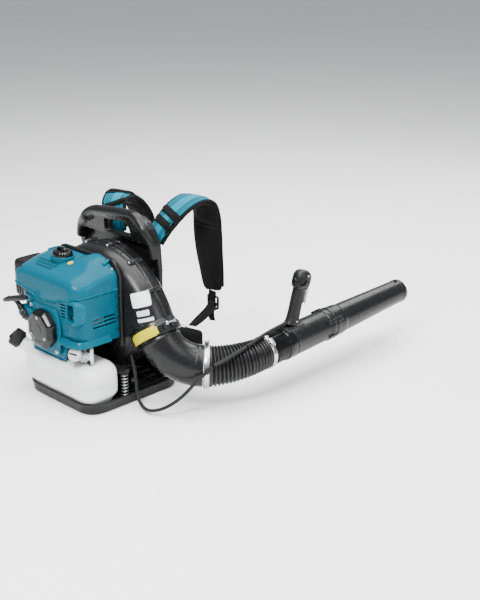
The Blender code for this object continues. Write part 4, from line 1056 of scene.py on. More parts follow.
def make_lower_cover():
    """The teal cowl under the seam, open behind, stepped up at its right to clear the oil filler."""
    outline = dense_rectangle(LOWER_LEFT, COVER_X[1], *COVER_Y, (0.024, 0.046, 0.006, 0.006))
    teal, shade = M["teal"], M["teal_painted_shade"]

    def floor(p):
        return 0.1245 + 0.056 * ramp((p.x - 0.030) / 0.028) + 0.016 * ramp((-0.100 - p.x) / 0.025)

    def taper(points, share):
        made = []
        for p in points:
            pull = 0.020 * ramp((-0.080 - p.x) / 0.05) * share
            belly = 0.010 * share * ramp((-0.10 - p.y) / 0.05)
            made.append(V((p.x + pull, p.y + belly)))
        return made

    def ring(thin, share):
        points = taper(inset(outline, thin), 1 - share)
        return [V((p.x, p.y, floor(p) + (seam(p.x) - 0.0010 - floor(p)) * share)) for p in points]
    shares = (0.0, 0.02, 0.12, 0.28, 0.46, 0.64, 0.80, 0.94, 0.985, 1.0)
    outer = [ring({0.0: 0.0010, 1.0: 0.0014}.get(share, 0.0), share) for share in shares]
    cowl = loft("cowl", outer + [ring(0.003, share) for share in shares[::-1]], teal, closed=True, sharp=34)
    cutters = [rounded_block("back", (LOWER_LEFT - 0.03, -0.058, 0.10), (0.103, 0.02, 0.34), 0.002, teal, 2)]
    # the louvre, port, slot, dog and primer cutters carry the painted-shade teal, which the cut faces take on
    for i in range(5):
        z = 0.2895 - i * 0.0085
        cutters.append(rounded_block("louvre", (0.038, -0.170, z - 0.0045), (0.064, -0.150, z), 0.0014, shade,
                                     2))
    cutters.append(rounded_block("port", (0.071, -0.172, 0.252), (0.094, -0.140, 0.292), 0.005, shade, 3))
    for i in range(3):
        z = 0.250 - i * 0.0105
        cutters.append(rounded_block("slot", (0.100, -0.113, z - 0.0045), (0.120, -0.040, z), 0.0018, shade,
                                     2))
    cutters.append(turned("dog", [(0.028, 0.0), (0.028, 0.03)], shade,
                          aim((CRANK.x, -0.175, CRANK.z), (0, 1, 0)), 48))
    cutters.append(turned("primer", [(0.0132, 0.0), (0.0132, 0.05)], shade,
                          aim((LOWER_LEFT + 0.030, -0.066, 0.196), (-1, 0, 0)), 32))
    parts = [carve(cowl, cutters, sharp=34)]
    pad = fillet([(-0.0955, 0.1400, 0.016), (0.030, 0.1400, 0.016), (0.0375, 0.215, 0.02),
                  (0.028, 0.268, 0.02), (-0.086, 0.268, 0.024), (-0.0955, 0.215, 0.02)], 6)
    parts.append(slab("starter_pad", pad, -0.1632, -0.1560, teal, 0.0028))
    port = fillet([(0.068, 0.2485, 0.006), (0.0975, 0.2485, 0.007), (0.0975, 0.296, 0.007),
                   (0.068, 0.296, 0.006)], 5)
    parts.append(bead("port_lip", [V((p.x, -0.1600, p.y)) for p in port], 0.0016, teal, V((0, 1, 0))))
    rings = []
    for grow, y in ((0.010, -0.1320), (0.010, -0.1570), (0.0088, -0.1592), (0.006, -0.1612),
                    (0.0015, -0.1626), (0.0, -0.1620), (0.0, -0.1320)):
        rings.append([V((p.x, y, p.y)) for p in inset(port, -grow)])
    parts.append(loft("port_rise", rings, teal, closed=True, sharp=30))
    ledge = [V((p.x, p.y, floor(p) + 0.0016)) for p in taper(inset(outline, -0.0004), 1.0) if p.y < -0.060]
    parts.append(rod("ledge", ledge, 0.0020, 10, teal))
    skirt = dense_rectangle(0.036, COVER_X[1], -0.160, -0.060, (0.004, 0.046, 0.002, 0.002))
    rings = []
    for grow, z in ((0.0, 0.196), (-0.0012, 0.1945), (-0.0070, 0.1855), (-0.0082, 0.1825), (-0.0076, 0.1805),
                    (-0.0020, 0.1802), (0.0030, 0.1805), (0.0030, 0.196)):
        rings.append([V((max(p.x, 0.036), min(p.y, -0.060), z)) for p in inset(skirt, grow)])
    parts.append(loft("skirt", rings, teal, closed=True, sharp=34))
    for x, z in ((-0.083, 0.256), (0.020, 0.152), (-0.083, 0.152)):
        parts.append(screw(0.0048, aim((x, -0.1637, z), (0, -1, 0)), M["steel"]))
    assemble("lower_cover", parts, "blower", "engine_cover_lower", sharp=34)
    # painted shade: a near-black sheet inside the cowl, standing in for the shade behind its openings
    inside = rounded_block("inner_shade", (-0.095, -0.148, 0.150), (0.062, -0.144, 0.280), 0.001, M["hole"],
                           1)
    place_piece(inside, "blower", slot="muffler")


def make_knob():
    """An oval cleaner knob with a finger loop, on a raised collar."""
    base = move(-0.050, -0.080, 0.3800) @ Matrix.Diagonal((1.0, 0.86, 1.18, 1.0))

    def grips(angle, i):
        return -0.0011 * (0.5 + 0.5 * math.cos(14 * angle)) ** 4 if 2 < i < 9 else 0.0
    profile = soft_profile([(0.0300, 0.0), (0.0298, 0.0045), (0.0262, 0.0095), (0.0120, 0.0112),
                            (0.0001, 0.0112)], 0.002)
    bridge = [(-0.016, 0.0, 0.009), (-0.0145, 0.0, 0.0145), (-0.007, 0.0, 0.0165), (0.007, 0.0, 0.0165),
              (0.0145, 0.0, 0.0145), (0.016, 0.0, 0.009)]
    path = [V(p) + V((-0.050, -0.080, 0.3815)) for p in smooth_route(bridge, 0.002)]
    assemble("cleaner_knob", [turned("knob", profile, M["glossy"], base, 84, ripple=grips),
                              sweep("loop", path, oval(16, 0.0058, 0.0030), M["glossy"])], "top_knob",
                              "top_knob")
    profile = soft_profile([(0.0335, -0.014), (0.0335, -0.0020), (0.0318, 0.0), (0.0305, -0.001),
                            (0.0305, -0.014)],
                           0.0008, closed=True)
    collar = turned("collar", profile, M["teal"], base, 72, hollow=True)
    place_piece(collar, "blower", slot="engine_cover_upper")
    profile = soft_profile([(0.0085, -0.0006), (0.0085, 0.0004), (0.0001, 0.0004)], 0.0002, 2)
    place = move(-0.002, -0.090, roof(-0.002, -0.090) + 0.0006) @ Matrix.Rotation(0.20, 4, "X")
    place_piece(turned("dot", profile, M["yellow_label"], place, 40), "blower", slot="engine_cover_upper")


def make_air_cleaner():
    """Ribbed black box at the left, with clips and an inlet strip."""
    outline = dense_rectangle(-0.122, -0.034, 0.238, 0.342, (0.014, 0.014, 0.018, 0.018))
    rings = []
    for distance, level in ((0.0012, -0.1690), (0.0, -0.1705), (0.0, -0.2110), (0.0018, -0.2160),
                            (0.006, -0.2200), (0.012, -0.2222)):
        rings.append([V((level, p.x, p.y)) for p in inset(outline, distance)])
    middle = V((-0.078, 0.290))
    for scale, level in ((0.66, -0.2230), (0.64, -0.2216), (0.40, -0.2214), (0.06, -0.2214)):
        rings.append([V((level, *(middle + (p - middle) * scale))) for p in outline])
    parts = [loft("box", rings, M["black"], sharp=34)]
    for level in (-0.181, -0.193, -0.205):
        ring = [V((level, p.x, p.y)) for p in inset(outline, -0.0002)]
        parts.append(bead("rib", ring, 0.0011, M["black"], V((1, 0, 0))))
    for y in (-0.104, -0.052):
        parts.append(rounded_block("clip", (-0.2265, y - 0.005, 0.250), (-0.2195, y + 0.005, 0.262), 0.0016,
                                   M["satin"]))
    assemble("air_cleaner_looks", parts, "blower", "air_cleaner_cover", sharp=34)
    strip = fillet([(-0.1665, 0.305, 0.004), (-0.150, 0.305, 0.004), (-0.132, 0.350, 0.01),
                    (-0.155, 0.341, 0.008), (-0.1695, 0.333, 0.006)], 4)
    place_piece(slab("strip", strip, -0.150, -0.060, M["black"], 0.002), "blower", slot="air_cleaner_cover")


make_upper_cover()
make_lower_cover()
make_knob()
make_air_cleaner()


# ---- recoil starter ----
def make_starter():
    """An eight-sided puck with rounded corners, a guide for the rope, and a T-grip."""
    corners = [(*spot, 0.0105) for spot in ((0.0535 * math.cos(a), 0.0535 * math.sin(a))
                                            for a in (math.radians(22.5 + 45 * k) for k in range(8)))]
    eight = fillet(corners, 6)
    place = aim((CRANK.x, COVER_Y[0] - 0.0033, CRANK.z), (0, -1, 0))
    rings = []
    for distance, level in ((0.0, -0.0030), (0.0, 0.0135), (0.0006, 0.0150), (0.0045, 0.0215),
                            (0.0068, 0.0238), (0.0092, 0.0246)):
        rings.append([V((p.x, p.y, level)) for p in inset(eight, distance)])
    for scale, level in ((0.76, 0.0250), (0.62, 0.0252), (0.605, 0.0242), (0.30, 0.0244), (0.28, 0.0252),
                         (0.05, 0.0253)):
        rings.append([V((p.x * scale, p.y * scale, level)) for p in eight])
    parts = [loft("puck", rings, M["glossy"], sharp=28, place=place)]
    for a in (math.radians(90 + 120 * k) for k in range(3)):
        parts.append(screw(0.0036, place @ move(0.0335 * math.cos(a), 0.0335 * math.sin(a), 0.0247),
                           M["steel"]))
    assemble("starter_puck", parts, "blower", "starter_housing", sharp=28)

    tab = fillet([(-0.1330, 0.2130, 0.010), (-0.0780, 0.2170, 0.008), (-0.0720, 0.2400, 0.012),
                  (-0.1080, 0.2520, 0.010), (-0.1370, 0.2430, 0.012)], 6)
    place_piece(slab("rope_tab", tab, -0.1715, -0.1560, M["teal"], 0.003), "blower",
                slot="engine_cover_lower")
    profile = soft_profile([(0.0025, -0.007), (0.0108, -0.007), (0.0115, 0.002), (0.0092, 0.0105),
                            (0.0025, 0.0120)],
                           0.0016, closed=True)
    sleeve = turned("sleeve", profile, M["rubber"], aim(ROPE_EXIT + ROPE_DIR * 0.001, ROPE_DIR), 36,
                    hollow=True)
    guide = rounded_block("guide", (-0.118, -0.1735, 0.209), (-0.086, -0.166, 0.232), 0.003, M["black"])
    assemble("rope_guide", [sleeve, guide], "blower", slot="starter_housing")

    foot = ROPE_EXIT + ROPE_DIR * 0.0163
    stem = soft_profile([(0.0020, -0.0003), (0.0092, 0.0), (0.0086, 0.006), (0.0064, 0.016), (0.0068, 0.026),
                         (0.0100, 0.032)], 0.002)
    handle = [turned("stem", [(0.0001, -0.0003)] + stem + [(0.0001, 0.032)], M["black"], aim(foot, ROPE_DIR),
                     32)]
    centre, across = ROPE_EXIT + ROPE_DIR * 0.0500, GRIP_BAR_DIR
    depth = ROPE_DIR.cross(across).normalized()
    thick = across.cross(depth).normalized()
    rings = []
    for t in (-0.5, -0.44, -0.36, -0.2, 0.0, 0.2, 0.36, 0.44, 0.5):
        shrink = math.sqrt(max(0.0, 1 - (abs(t) / 0.53) ** 6))
        droop = thick * (-0.0022 * (2 * t) ** 2)
        rings.append([centre + across * (t * 0.098) + depth * a + thick * b + droop
                      for a, b in oval(24, 0.0088 * shrink, 0.0066 * shrink, 0.6)])
    handle.append(loft("bar", rings, M["black"], sharp=40))
    for t in (-0.3, 0.3):
        middle = centre + across * (t * 0.098) + thick * 0.0058
        handle.append(rod("ridge", [middle + depth * d for d in (-0.006, 0.0, 0.006)], 0.0012, 10,
                          M["black"]))
    assemble("pull_handle", handle, "starter_pull", "starter_grip", sharp=40)

    first, last = ROPE_EXIT - ROPE_DIR * 0.003, foot + ROPE_DIR * 0.001
    rope = rod("pull_rope", [first.lerp(last, k / 60) for k in range(61)], 0.0018, 12, M["white_rope"])
    place_across(rope, "blower", "starter_pull", first, last, "starter_rope")


# ---- tank and oil filler ----
def make_tank():
    """Blow-moulded tank with a seam line, a stepped neck and soft corners, and its knurled cap."""
    levels = (((-0.118, 0.114), (-0.137, -0.062), 0.0098), ((-0.126, 0.121), (-0.145, -0.056), 0.0150),
              ((-0.133, 0.128), (-0.151, -0.053), 0.0290), ((-0.1445, 0.1405), (-0.1605, -0.0505), 0.0440),
              ((-0.146, 0.142), (-0.162, -0.050), 0.050), ((-0.146, 0.142), (-0.162, -0.050), 0.100),
              ((-0.1435, 0.139), (-0.1595, -0.0525), 0.111), ((-0.136, 0.131), (-0.152, -0.058), 0.1205),
              ((-0.122, 0.116), (-0.139, -0.068), 0.1250))
    rings = [flat_ring(rounded_rectangle(*xs, *ys, 0.040, 10), z) for xs, ys, z in levels]
    body = loft("body", rings, M["tank"])
    neck_place = aim(NECK_START, CAP_DIR)
    neck = turned("neck", [(0.0275, -0.01), (0.0255, 0.006), (0.0225, 0.028), (0.0168, 0.043),
                           (0.0165, NECK_LENGTH)],
                  M["tank"], neck_place, 48)
    tank = melt("fuel_tank_body", [body, neck], M["tank"], 0.0026, 10)
    seam_outline = dense_rectangle(-0.1458, 0.1418, -0.1618, -0.0502, (0.04, 0.04, 0.04, 0.04))
    mould_line = bead("mould_line", [V((p.x, p.y, 0.0760)) for p in seam_outline], 0.0010, M["tank"])
    assemble("fuel_tank_looks", [tank, mould_line], "blower", "fuel_tank", sharp=None)

    flute = lambda angle, i: -0.0010 * (0.5 - 0.5 * math.cos(26 * angle)) ** 3 if 3 < i < 12 else 0.0
    profile = soft_profile([(0.0170, 0.0), (0.0235, 0.0), (0.0250, 0.003), (0.0250, 0.0240), (0.0226, 0.0285),
                            (0.0110, 0.0302), (0.0001, 0.0302)], 0.0016, 3)
    cap_place = aim(NECK_START + CAP_DIR * (NECK_LENGTH + 0.0003), CAP_DIR)
    cap = turned("cap", [(0.0001, 0.0)] + profile, M["black"], cap_place, 208, ripple=flute, sharp=40)
    grip = rounded_block("wing", (-0.0185, -0.0034, 0.0280), (0.0185, 0.0034, 0.0335), 0.0014, M["black"], 2,
                         cap_place)
    ring = turned("ring", soft_profile([(0.0166, -0.0035), (0.0192, -0.0035), (0.0192, -0.0008),
                                        (0.0166, -0.0008)],
                                       0.0008, closed=True), M["rubber"], cap_place, 48, hollow=True)
    assemble("tank_cap", [cap, grip], "fuel_cap", "fuel_cap", sharp=40)
    place_piece(ring, "blower", slot="fuel_tank")


def make_oil_filler():
    place = aim((0.080, -0.128, 0.148), (0.20, -0.88, 0.43))
    flange = rounded_block("flange", (0.046, -0.1245, 0.1285), (0.110, -0.1120, 0.1755), 0.0055, M["alloy"],
                           3)
    neck = turned("neck", [(0.0175, -0.010), (0.0150, 0.004), (0.0130, 0.010), (0.0130, 0.019),
                           (0.0152, 0.0205), (0.0152, 0.027)],
                  M["alloy"], place, 40)
    body = melt("filler_body", [flange, neck], M["alloy"], 0.0014, 4)
    parts = [body]
    for x, z in ((0.1025, 0.1675), (0.0545, 0.1675), (0.1025, 0.1355)):
        parts.append(screw(0.0050, aim((x, -0.1250, z), (0, -1, 0)), M["black"], 0.006))
    assemble("oil_filler_looks", parts, "blower", "oil_filler", sharp=None)
    rib = lambda angle, i: -0.0009 * (0.5 - 0.5 * math.cos(20 * angle)) ** 2 if 2 < i < 9 else 0.0
    profile = soft_profile([(0.0155, 0.0), (0.0178, 0.0008), (0.0181, 0.0085), (0.0160, 0.0125),
                            (0.0060, 0.0140), (0.0001, 0.0140)],
                           0.0012, 3)
    cap_place = place @ move(0, 0, 0.0273)
    cap = turned("cap", [(0.0001, 0.0)] + profile, M["light"], cap_place, 120, ripple=rib, sharp=40)
    slot = rounded_block("slot", (-0.0135, -0.0022, 0.0105), (0.0135, 0.0022, 0.0180), 0.0008, M["black"], 2,
                         cap_place)
    carve(cap, [slot], sharp=40)
    place_piece(cap, "oil_cap", "oil_cap")


def make_small_controls():
    """Primer bulb, choke lever and the knob on its end."""
    place = aim((LOWER_LEFT + 0.004, -0.066, 0.196), (-1, 0, 0))
    bulb = [(0.0118, 0.0), (0.0116, 0.003), (0.0106, 0.0075), (0.0084, 0.0114), (0.0050, 0.0140),
            (0.0001, 0.0150)]
    place_piece(turned("primer_dome", bulb, M["tank"], place, 40), "primer", "primer_bulb")
    ring = turned("ring", soft_profile([(0.0122, -0.012), (0.0155, -0.012), (0.0155, 0.0015),
                                        (0.0122, 0.0015)], 0.0008,
                                       closed=True), M["black"], place, 40, hollow=True)
    place_piece(ring, "blower", slot="primer_bulb")
    pivot = V((LOWER_LEFT - 0.0028, -0.112, 0.232))
    outline = fillet([(-0.0055, -0.031, 0.004), (0.0055, -0.031, 0.004), (0.0055, 0.0055, 0.005),
                      (-0.0055, 0.0055, 0.005)], 5)
    lever = slab("lever", outline, -0.002, 0.002, M["black"], 0.0008, axis="X", place=move(*pivot))
    hub = turned("hub", soft_profile([(0.0040, 0.0), (0.0040, 0.0035), (0.0001, 0.0035)], 0.0006), M["steel"],
                 aim(pivot + V((-0.001, 0, 0)), (-1, 0, 0)), 24)
    assemble("choke_looks", [lever, hub], "choke", "choke_lever")


make_starter()
make_tank()
make_oil_filler()
make_small_controls()


# ---- duct ----
def hollow_sweep(name, points, outer, inner, mat, first, last, segments=56, sharp=32):
    """A pipe wall whose outer and inner radii are functions of the share of its length."""
    frames = frames_along(points, first, last)
    count = len(frames)
    rings = []
    for radius, order in ((outer, range(count)), (inner, range(count)[::-1])):
        for i in order:
            point, side, up = frames[i]
            rings.append([point + side * a + up * b for a, b in oval(segments, radius(i / (count - 1)))])
    return loft(name, rings, mat, closed=True, sharp=sharp)


def duct_frame():
    middle, across, out = mouth_axes()
    return V((middle.x, FAN_Y, middle.y)), V((across.x, 0, across.y)), V((out.x, 0, out.y))


def make_outlet():
    """The collar with its lugs, bolt and label, and the elbow with its beads and parting line."""
    centre, across, along = duct_frame()
    satin = M["satin"]
    profile = soft_profile([(ELBOW_R + 0.001, -0.004), (0.0590, -0.004), (0.0602, 0.006), (0.0632, 0.0085),
                            (0.0640, 0.0125), (0.0640, 0.0290), (0.0618, 0.0335), (ELBOW_R + 0.001, 0.0335)],
                            0.0016, closed=True)
    parts = [turned("collar", profile, satin, aim(centre, along), 96, hollow=True)]
    for a in (0.75, 1.35, 1.95, 2.55, 3.15):
        spot = centre + along * 0.0205 + (across * math.cos(a) + V((0, 1, 0)) * math.sin(a)) * 0.0642
        parts.append(rod("rib", [spot + along * d for d in (-0.007, 0.0, 0.007)], 0.0013, 8, satin))
    lug_at = centre + along * 0.018 + across * 0.0675
    for y in (-0.013, 0.011):
        turn = move(*(lug_at + V((0, y, 0)))) @ aim((0, 0, 0), along)
        parts.append(rounded_block("lug", (-0.0095, -0.003, -0.0085), (0.0095, 0.003, 0.0085), 0.002, satin,
                                   3, turn))
    ring = assemble("outlet_collar_looks", parts, "blower", "outlet_collar", sharp=38)
    plate_at = centre + along * 0.020 + across * 0.014 + V((0.0, -0.075, 0.0))
    plate = stick("label_yellow", ring, plate_at, (0.05, 0.99, 0.03), across + V((0, 0.12, 0)), 0.092, 0.0290,
                  M["yellow_label"])
    place_piece(plate, "blower", slot="outlet_collar")
    bolt_centre = V((0.2398, 0.033, 0.2417))
    nut = soft_profile([(0.0001, 0.0), (0.0058, 0.0), (0.0058, 0.0045), (0.0001, 0.0045)], 0.0006)
    assemble("collar_bolt_looks", [
        screw(0.0056, aim(bolt_centre + V((0, -0.0125, 0)), (0, -1, 0)), M["zinc"], 0.026),
        turned("nut", nut, M["zinc"], aim(bolt_centre + V((0, 0.0105, 0)), (0, 1, 0)), 6)],
        "blower", "collar_bolt", sharp=38)

    start = centre + along * 0.034
    finish = HOSE_START - HOSE_START_DIR * 0.002
    handles = (start, start + along * 0.050, finish - HOSE_START_DIR * 0.050, finish)
    curve = [bezier(*handles, i / 44) for i in range(45)]
    beads = ((0.085, 0.004, 0.0022), (0.125, 0.004, 0.0014), (0.86, 0.012, 0.0016), (0.925, 0.006, 0.0020))

    def outer(t):
        return ELBOW_R + sum(h * math.exp(-((t - at) / w) ** 2) for at, w, h in beads)
    pipe = hollow_sweep("elbow_pipe", [centre + along * 0.006, centre + along * 0.020] + curve, outer,
                        lambda t: ELBOW_R - 0.0028, satin, along, HOSE_START_DIR, 72)
    line = [point + (side * 0.25 + up * 0.97).normalized() * (ELBOW_R + 0.0004)
            for point, side, up in frames_along(curve[6:37])]
    assemble("elbow_looks", [pipe, rod("parting_line", line, 0.0008, 8, satin)], "blower", "elbow", sharp=38)


def hose_point(t):
    return bezier(HOSE_START, HOSE_START + HOSE_START_DIR * 0.060, HOSE_END - TUBE_DIR * 0.055, HOSE_END, t)


def hose_direction(t):
    return (hose_point(t + 0.01) - hose_point(t - 0.01)).normalized()


def hose_radius(t):
    return HOSE_START_R + (HOSE_END_R - HOSE_START_R) * t


def make_hose():
    """Pleated rubber hose, smooth under its two bright clamps."""
    def pleat(t):
        share = (t - 0.07) / (0.93 - 0.07)
        if not 0 < share < 1:
            return -0.0006
        wave = 0.5 - 0.5 * math.cos(TAU * PLEATS * share)
        return -0.0006 - 0.0052 * (1 - wave ** 0.7) * ramp(share * 14) * ramp((1 - share) * 14)
    for name, bodies, first, last in (("flex_hose_rear", ("blower", "hose_middle"), 0.0, 0.4985),
                                      ("flex_hose_front", ("hose_middle", "hose_end"), 0.5015, 1.0)):
        at = [first + (last - first) * i / 110 for i in range(111)]

        def wall(depth, thick, first=first, span=last - first):
            return lambda s: hose_radius(first + span * s) + pleat(first + span * s) * depth - thick
        hose = hollow_sweep(name + "_looks", [hose_point(t) for t in at], wall(1.0, 0.0), wall(0.9, 0.0028),
                            M["hose"], hose_direction(first), hose_direction(last), 60, 50)
        place_across(hose, *bodies, hose_point(first), hose_point(last), name)

    zinc = M["zinc"]
    for name, body, t, angle in (("hose_clamp_rear", "blower", 0.035, 1.15),
                                 ("hose_clamp_front", "hose_end", 0.955, 2.2)):
        place = aim(hose_point(t), hose_direction(t))
        clear = hose_radius(t) + 0.0004
        profile = soft_profile([(clear, -0.0060), (clear + 0.0016, -0.0064), (clear + 0.0022, 0.0),
                                (clear + 0.0016, 0.0064), (clear, 0.0060)], 0.0006, closed=True)
        turn = place @ Matrix.Rotation(angle, 4, "Z") @ move(clear + 0.0060, 0, 0)
        parts = [turned("band", profile, zinc, place, 96, hollow=True),
                 rounded_block("worm_box", (-0.0042, -0.0090, -0.0066), (0.0042, 0.0090, 0.0066), 0.0022,
                               zinc, 3, turn),
                 screw(0.0046, turn @ move(0, 0.0105, 0) @ Matrix.Rotation(-math.pi / 2, 4, "X"), M["steel"],
                       0.008),
                 rounded_block("tail", (-0.0040, -0.0220, -0.0055), (-0.0030, -0.0080, 0.0055), 0.0004, zinc,
                               2, turn)]
        # painted shade: near-black insets that darken the band's slots
        for k in range(9):
            slot = place @ Matrix.Rotation(angle + 0.25 + 0.055 * k, 4, "Z") @ move(clear + 0.0021, 0, 0)
            parts.append(rounded_block("slot", (-0.0002, -0.0008, -0.0034), (0.0003, 0.0008, 0.0034), 0.0002,
                                       M["hole"], 1, slot))
        assemble(name + "_looks", parts, body, name, sharp=38)


def make_tubes():
    """The swivel cuff, the control tube with its lugs and saddle, and the end tube with its catches."""
    along = aim(HOSE_END, TUBE_DIR)
    satin, inner, spigot = M["satin"], TUBE_R - 0.0025, TUBE_R - 0.0045

    def block(name, angle, low, high, radius, reach=0.0):
        place = along @ Matrix.Rotation(math.radians(angle), 4, "Z") @ move(*reach) if reach else \
            along @ Matrix.Rotation(math.radians(angle), 4, "Z")
        return rounded_block(name, low, high, radius, satin, 3, place)
    profile = [(inner - 0.003, 0.0055), (TUBE_R - 0.0030, 0.0055)]
    for low in (0.0090 + i * 0.0046 for i in range(9)):
        profile += [(TUBE_R - 0.0034, low), (TUBE_R - 0.0016, low + 0.0008), (TUBE_R - 0.0016, low + 0.0030),
                    (TUBE_R - 0.0034, low + 0.0038)]
    profile += soft_profile([(TUBE_R - 0.0032, 0.0510), (TUBE_R + 0.0006, 0.0520), (TUBE_R + 0.0012, 0.0640),
                             (TUBE_R + 0.0006, 0.0795), (TUBE_R - 0.0020, 0.0800)], 0.0012)
    profile.append((inner - 0.003, 0.0800))
    assemble("swivel_cuff_looks", [
        turned("cuff", profile, M["glossy"], along, 96, hollow=True, sharp=40),
        block("peg", 20, (-0.0045, -0.0035, -0.0045), (0.0045, 0.0020, 0.0045), 0.0014,
              (0, -(TUBE_R + 0.0006), 0.066))],
        "hose_end", "swivel_cuff", sharp=40)

    profile = [(inner - 0.004, 0.0803)] + soft_profile([
        (TUBE_R - 0.001, 0.0803), (TUBE_R + 0.0006, 0.0812), (TUBE_R + 0.0006, 0.0880),
        (TUBE_R - 0.0002, 0.0900),
        (TUBE_R - 0.0012, 0.2180), (TUBE_R + 0.0010, 0.2200), (TUBE_R + 0.0014, 0.2330),
        (TUBE_R - 0.0002, 0.2393),
        (spigot, 0.2397)], 0.0008)
    profile += [(spigot, 0.274), (spigot - 0.0025, 0.274), (spigot - 0.0025, 0.22), (inner - 0.004, 0.19)]
    parts = [turned("tube", profile, satin, along, 96, hollow=True, sharp=40)]
    for angle, low, half, thick in ((150, 0.205, 0.005, 0.0044), (205, 0.208, 0.004, 0.0040),
                                    (60, 0.205, 0.005, 0.0040)):
        parts.append(block("lug", angle, (TUBE_R - 0.003, -half, low), (TUBE_R + thick, half, 0.2390),
                           0.0016))
    saddle_at = HOSE_END + TUBE_DIR * 0.094 + V((0, 0, TUBE_R - 0.003))
    parts.append(rounded_block("saddle", saddle_at - V((0.021, 0.036, 0.008)),
                               saddle_at + V((0.021, 0.036, 0.0046)), 0.004, satin, 3))
    assemble("control_tube_looks", parts, "control", "control_tube", sharp=40)

    profile = soft_profile([
        (spigot + 0.0005, 0.2400), (TUBE_R + 0.0002, 0.2400), (TUBE_R + 0.0012, 0.2420),
        (TUBE_R + 0.0012, 0.2520),
        (TUBE_R - 0.0004, 0.2545), (TUBE_R - 0.0004, 0.2790), (TUBE_R - 0.0030, 0.2880),
        (OUTLET_R + 0.0002, 0.5500),
        (OUTLET_R + 0.0010, 0.5520), (OUTLET_R + 0.0010, 0.5600), (OUTLET_R, 0.5615), (OUTLET_R, TUBE_END),
        (OUTLET_R - 0.0024, TUBE_END), (TUBE_R - 0.0055, 0.2880), (spigot + 0.0005, 0.2800)], 0.0007,
        closed=True)
    parts = [turned("outer", profile, satin, along, 96, hollow=True, sharp=40)]
    for angle in (150, 25, 265):
        parts.append(block("catch", angle, (TUBE_R - 0.003, -0.0065, 0.2415),
                           (TUBE_R + 0.0048, 0.0065, 0.2640), 0.0018))
    for angle in (95, 275):
        parts.append(block("peg", angle, (-0.003, -0.0035, -0.0035), (0.0050, 0.0035, 0.0035), 0.0012,
                           (OUTLET_R + 0.0005, 0, 0.5480)))
    for angle in (0, math.pi):
        side = along.to_3x3() @ V((math.cos(angle), math.sin(angle), 0))
        line = []
        for t in (0.292, 0.36, 0.43, 0.50, 0.545):
            r = (TUBE_R - 0.0030) + (OUTLET_R - TUBE_R + 0.0030) * (t - 0.288) / (0.55 - 0.288)
            line.append(HOSE_END + TUBE_DIR * t + side * r)
        parts.append(rod("parting_line", line, 0.0006, 8, satin))
    assemble("end_tube_looks", parts, "end_tube", "end_tube", sharp=40)


def grip_point(along, forward, right=0.0):
    return GRIP_BASE + GRIP_AXIS * along + GRIP_FRONT * forward + V((right, 0, 0))


def blade(name, outline, x_low, x_high, pivot, mat, edge):
    """A lever cut from an outline in (along the grip, forward), with eased edges."""
    flat = fillet([(f, a, 0.0035) for a, f in outline], 5)
    if sum(p.x * q.y - q.x * p.y for p, q in zip(flat, flat[1:] + flat[:1])) < 0:
        flat = flat[::-1]
    rings = []
    for distance, x in ((edge, x_low), (edge * 0.3, x_low + edge * 0.3), (0.0, x_low + edge),
                        (0.0, x_high - edge), (edge * 0.3, x_high - edge * 0.3), (edge, x_high)):
        rings.append([pivot + V((x, 0, 0)) + GRIP_AXIS * p.y + GRIP_FRONT * p.x for p in inset(flat,
                                                                                               distance)])
    return loft(name, rings, mat, sharp=38)


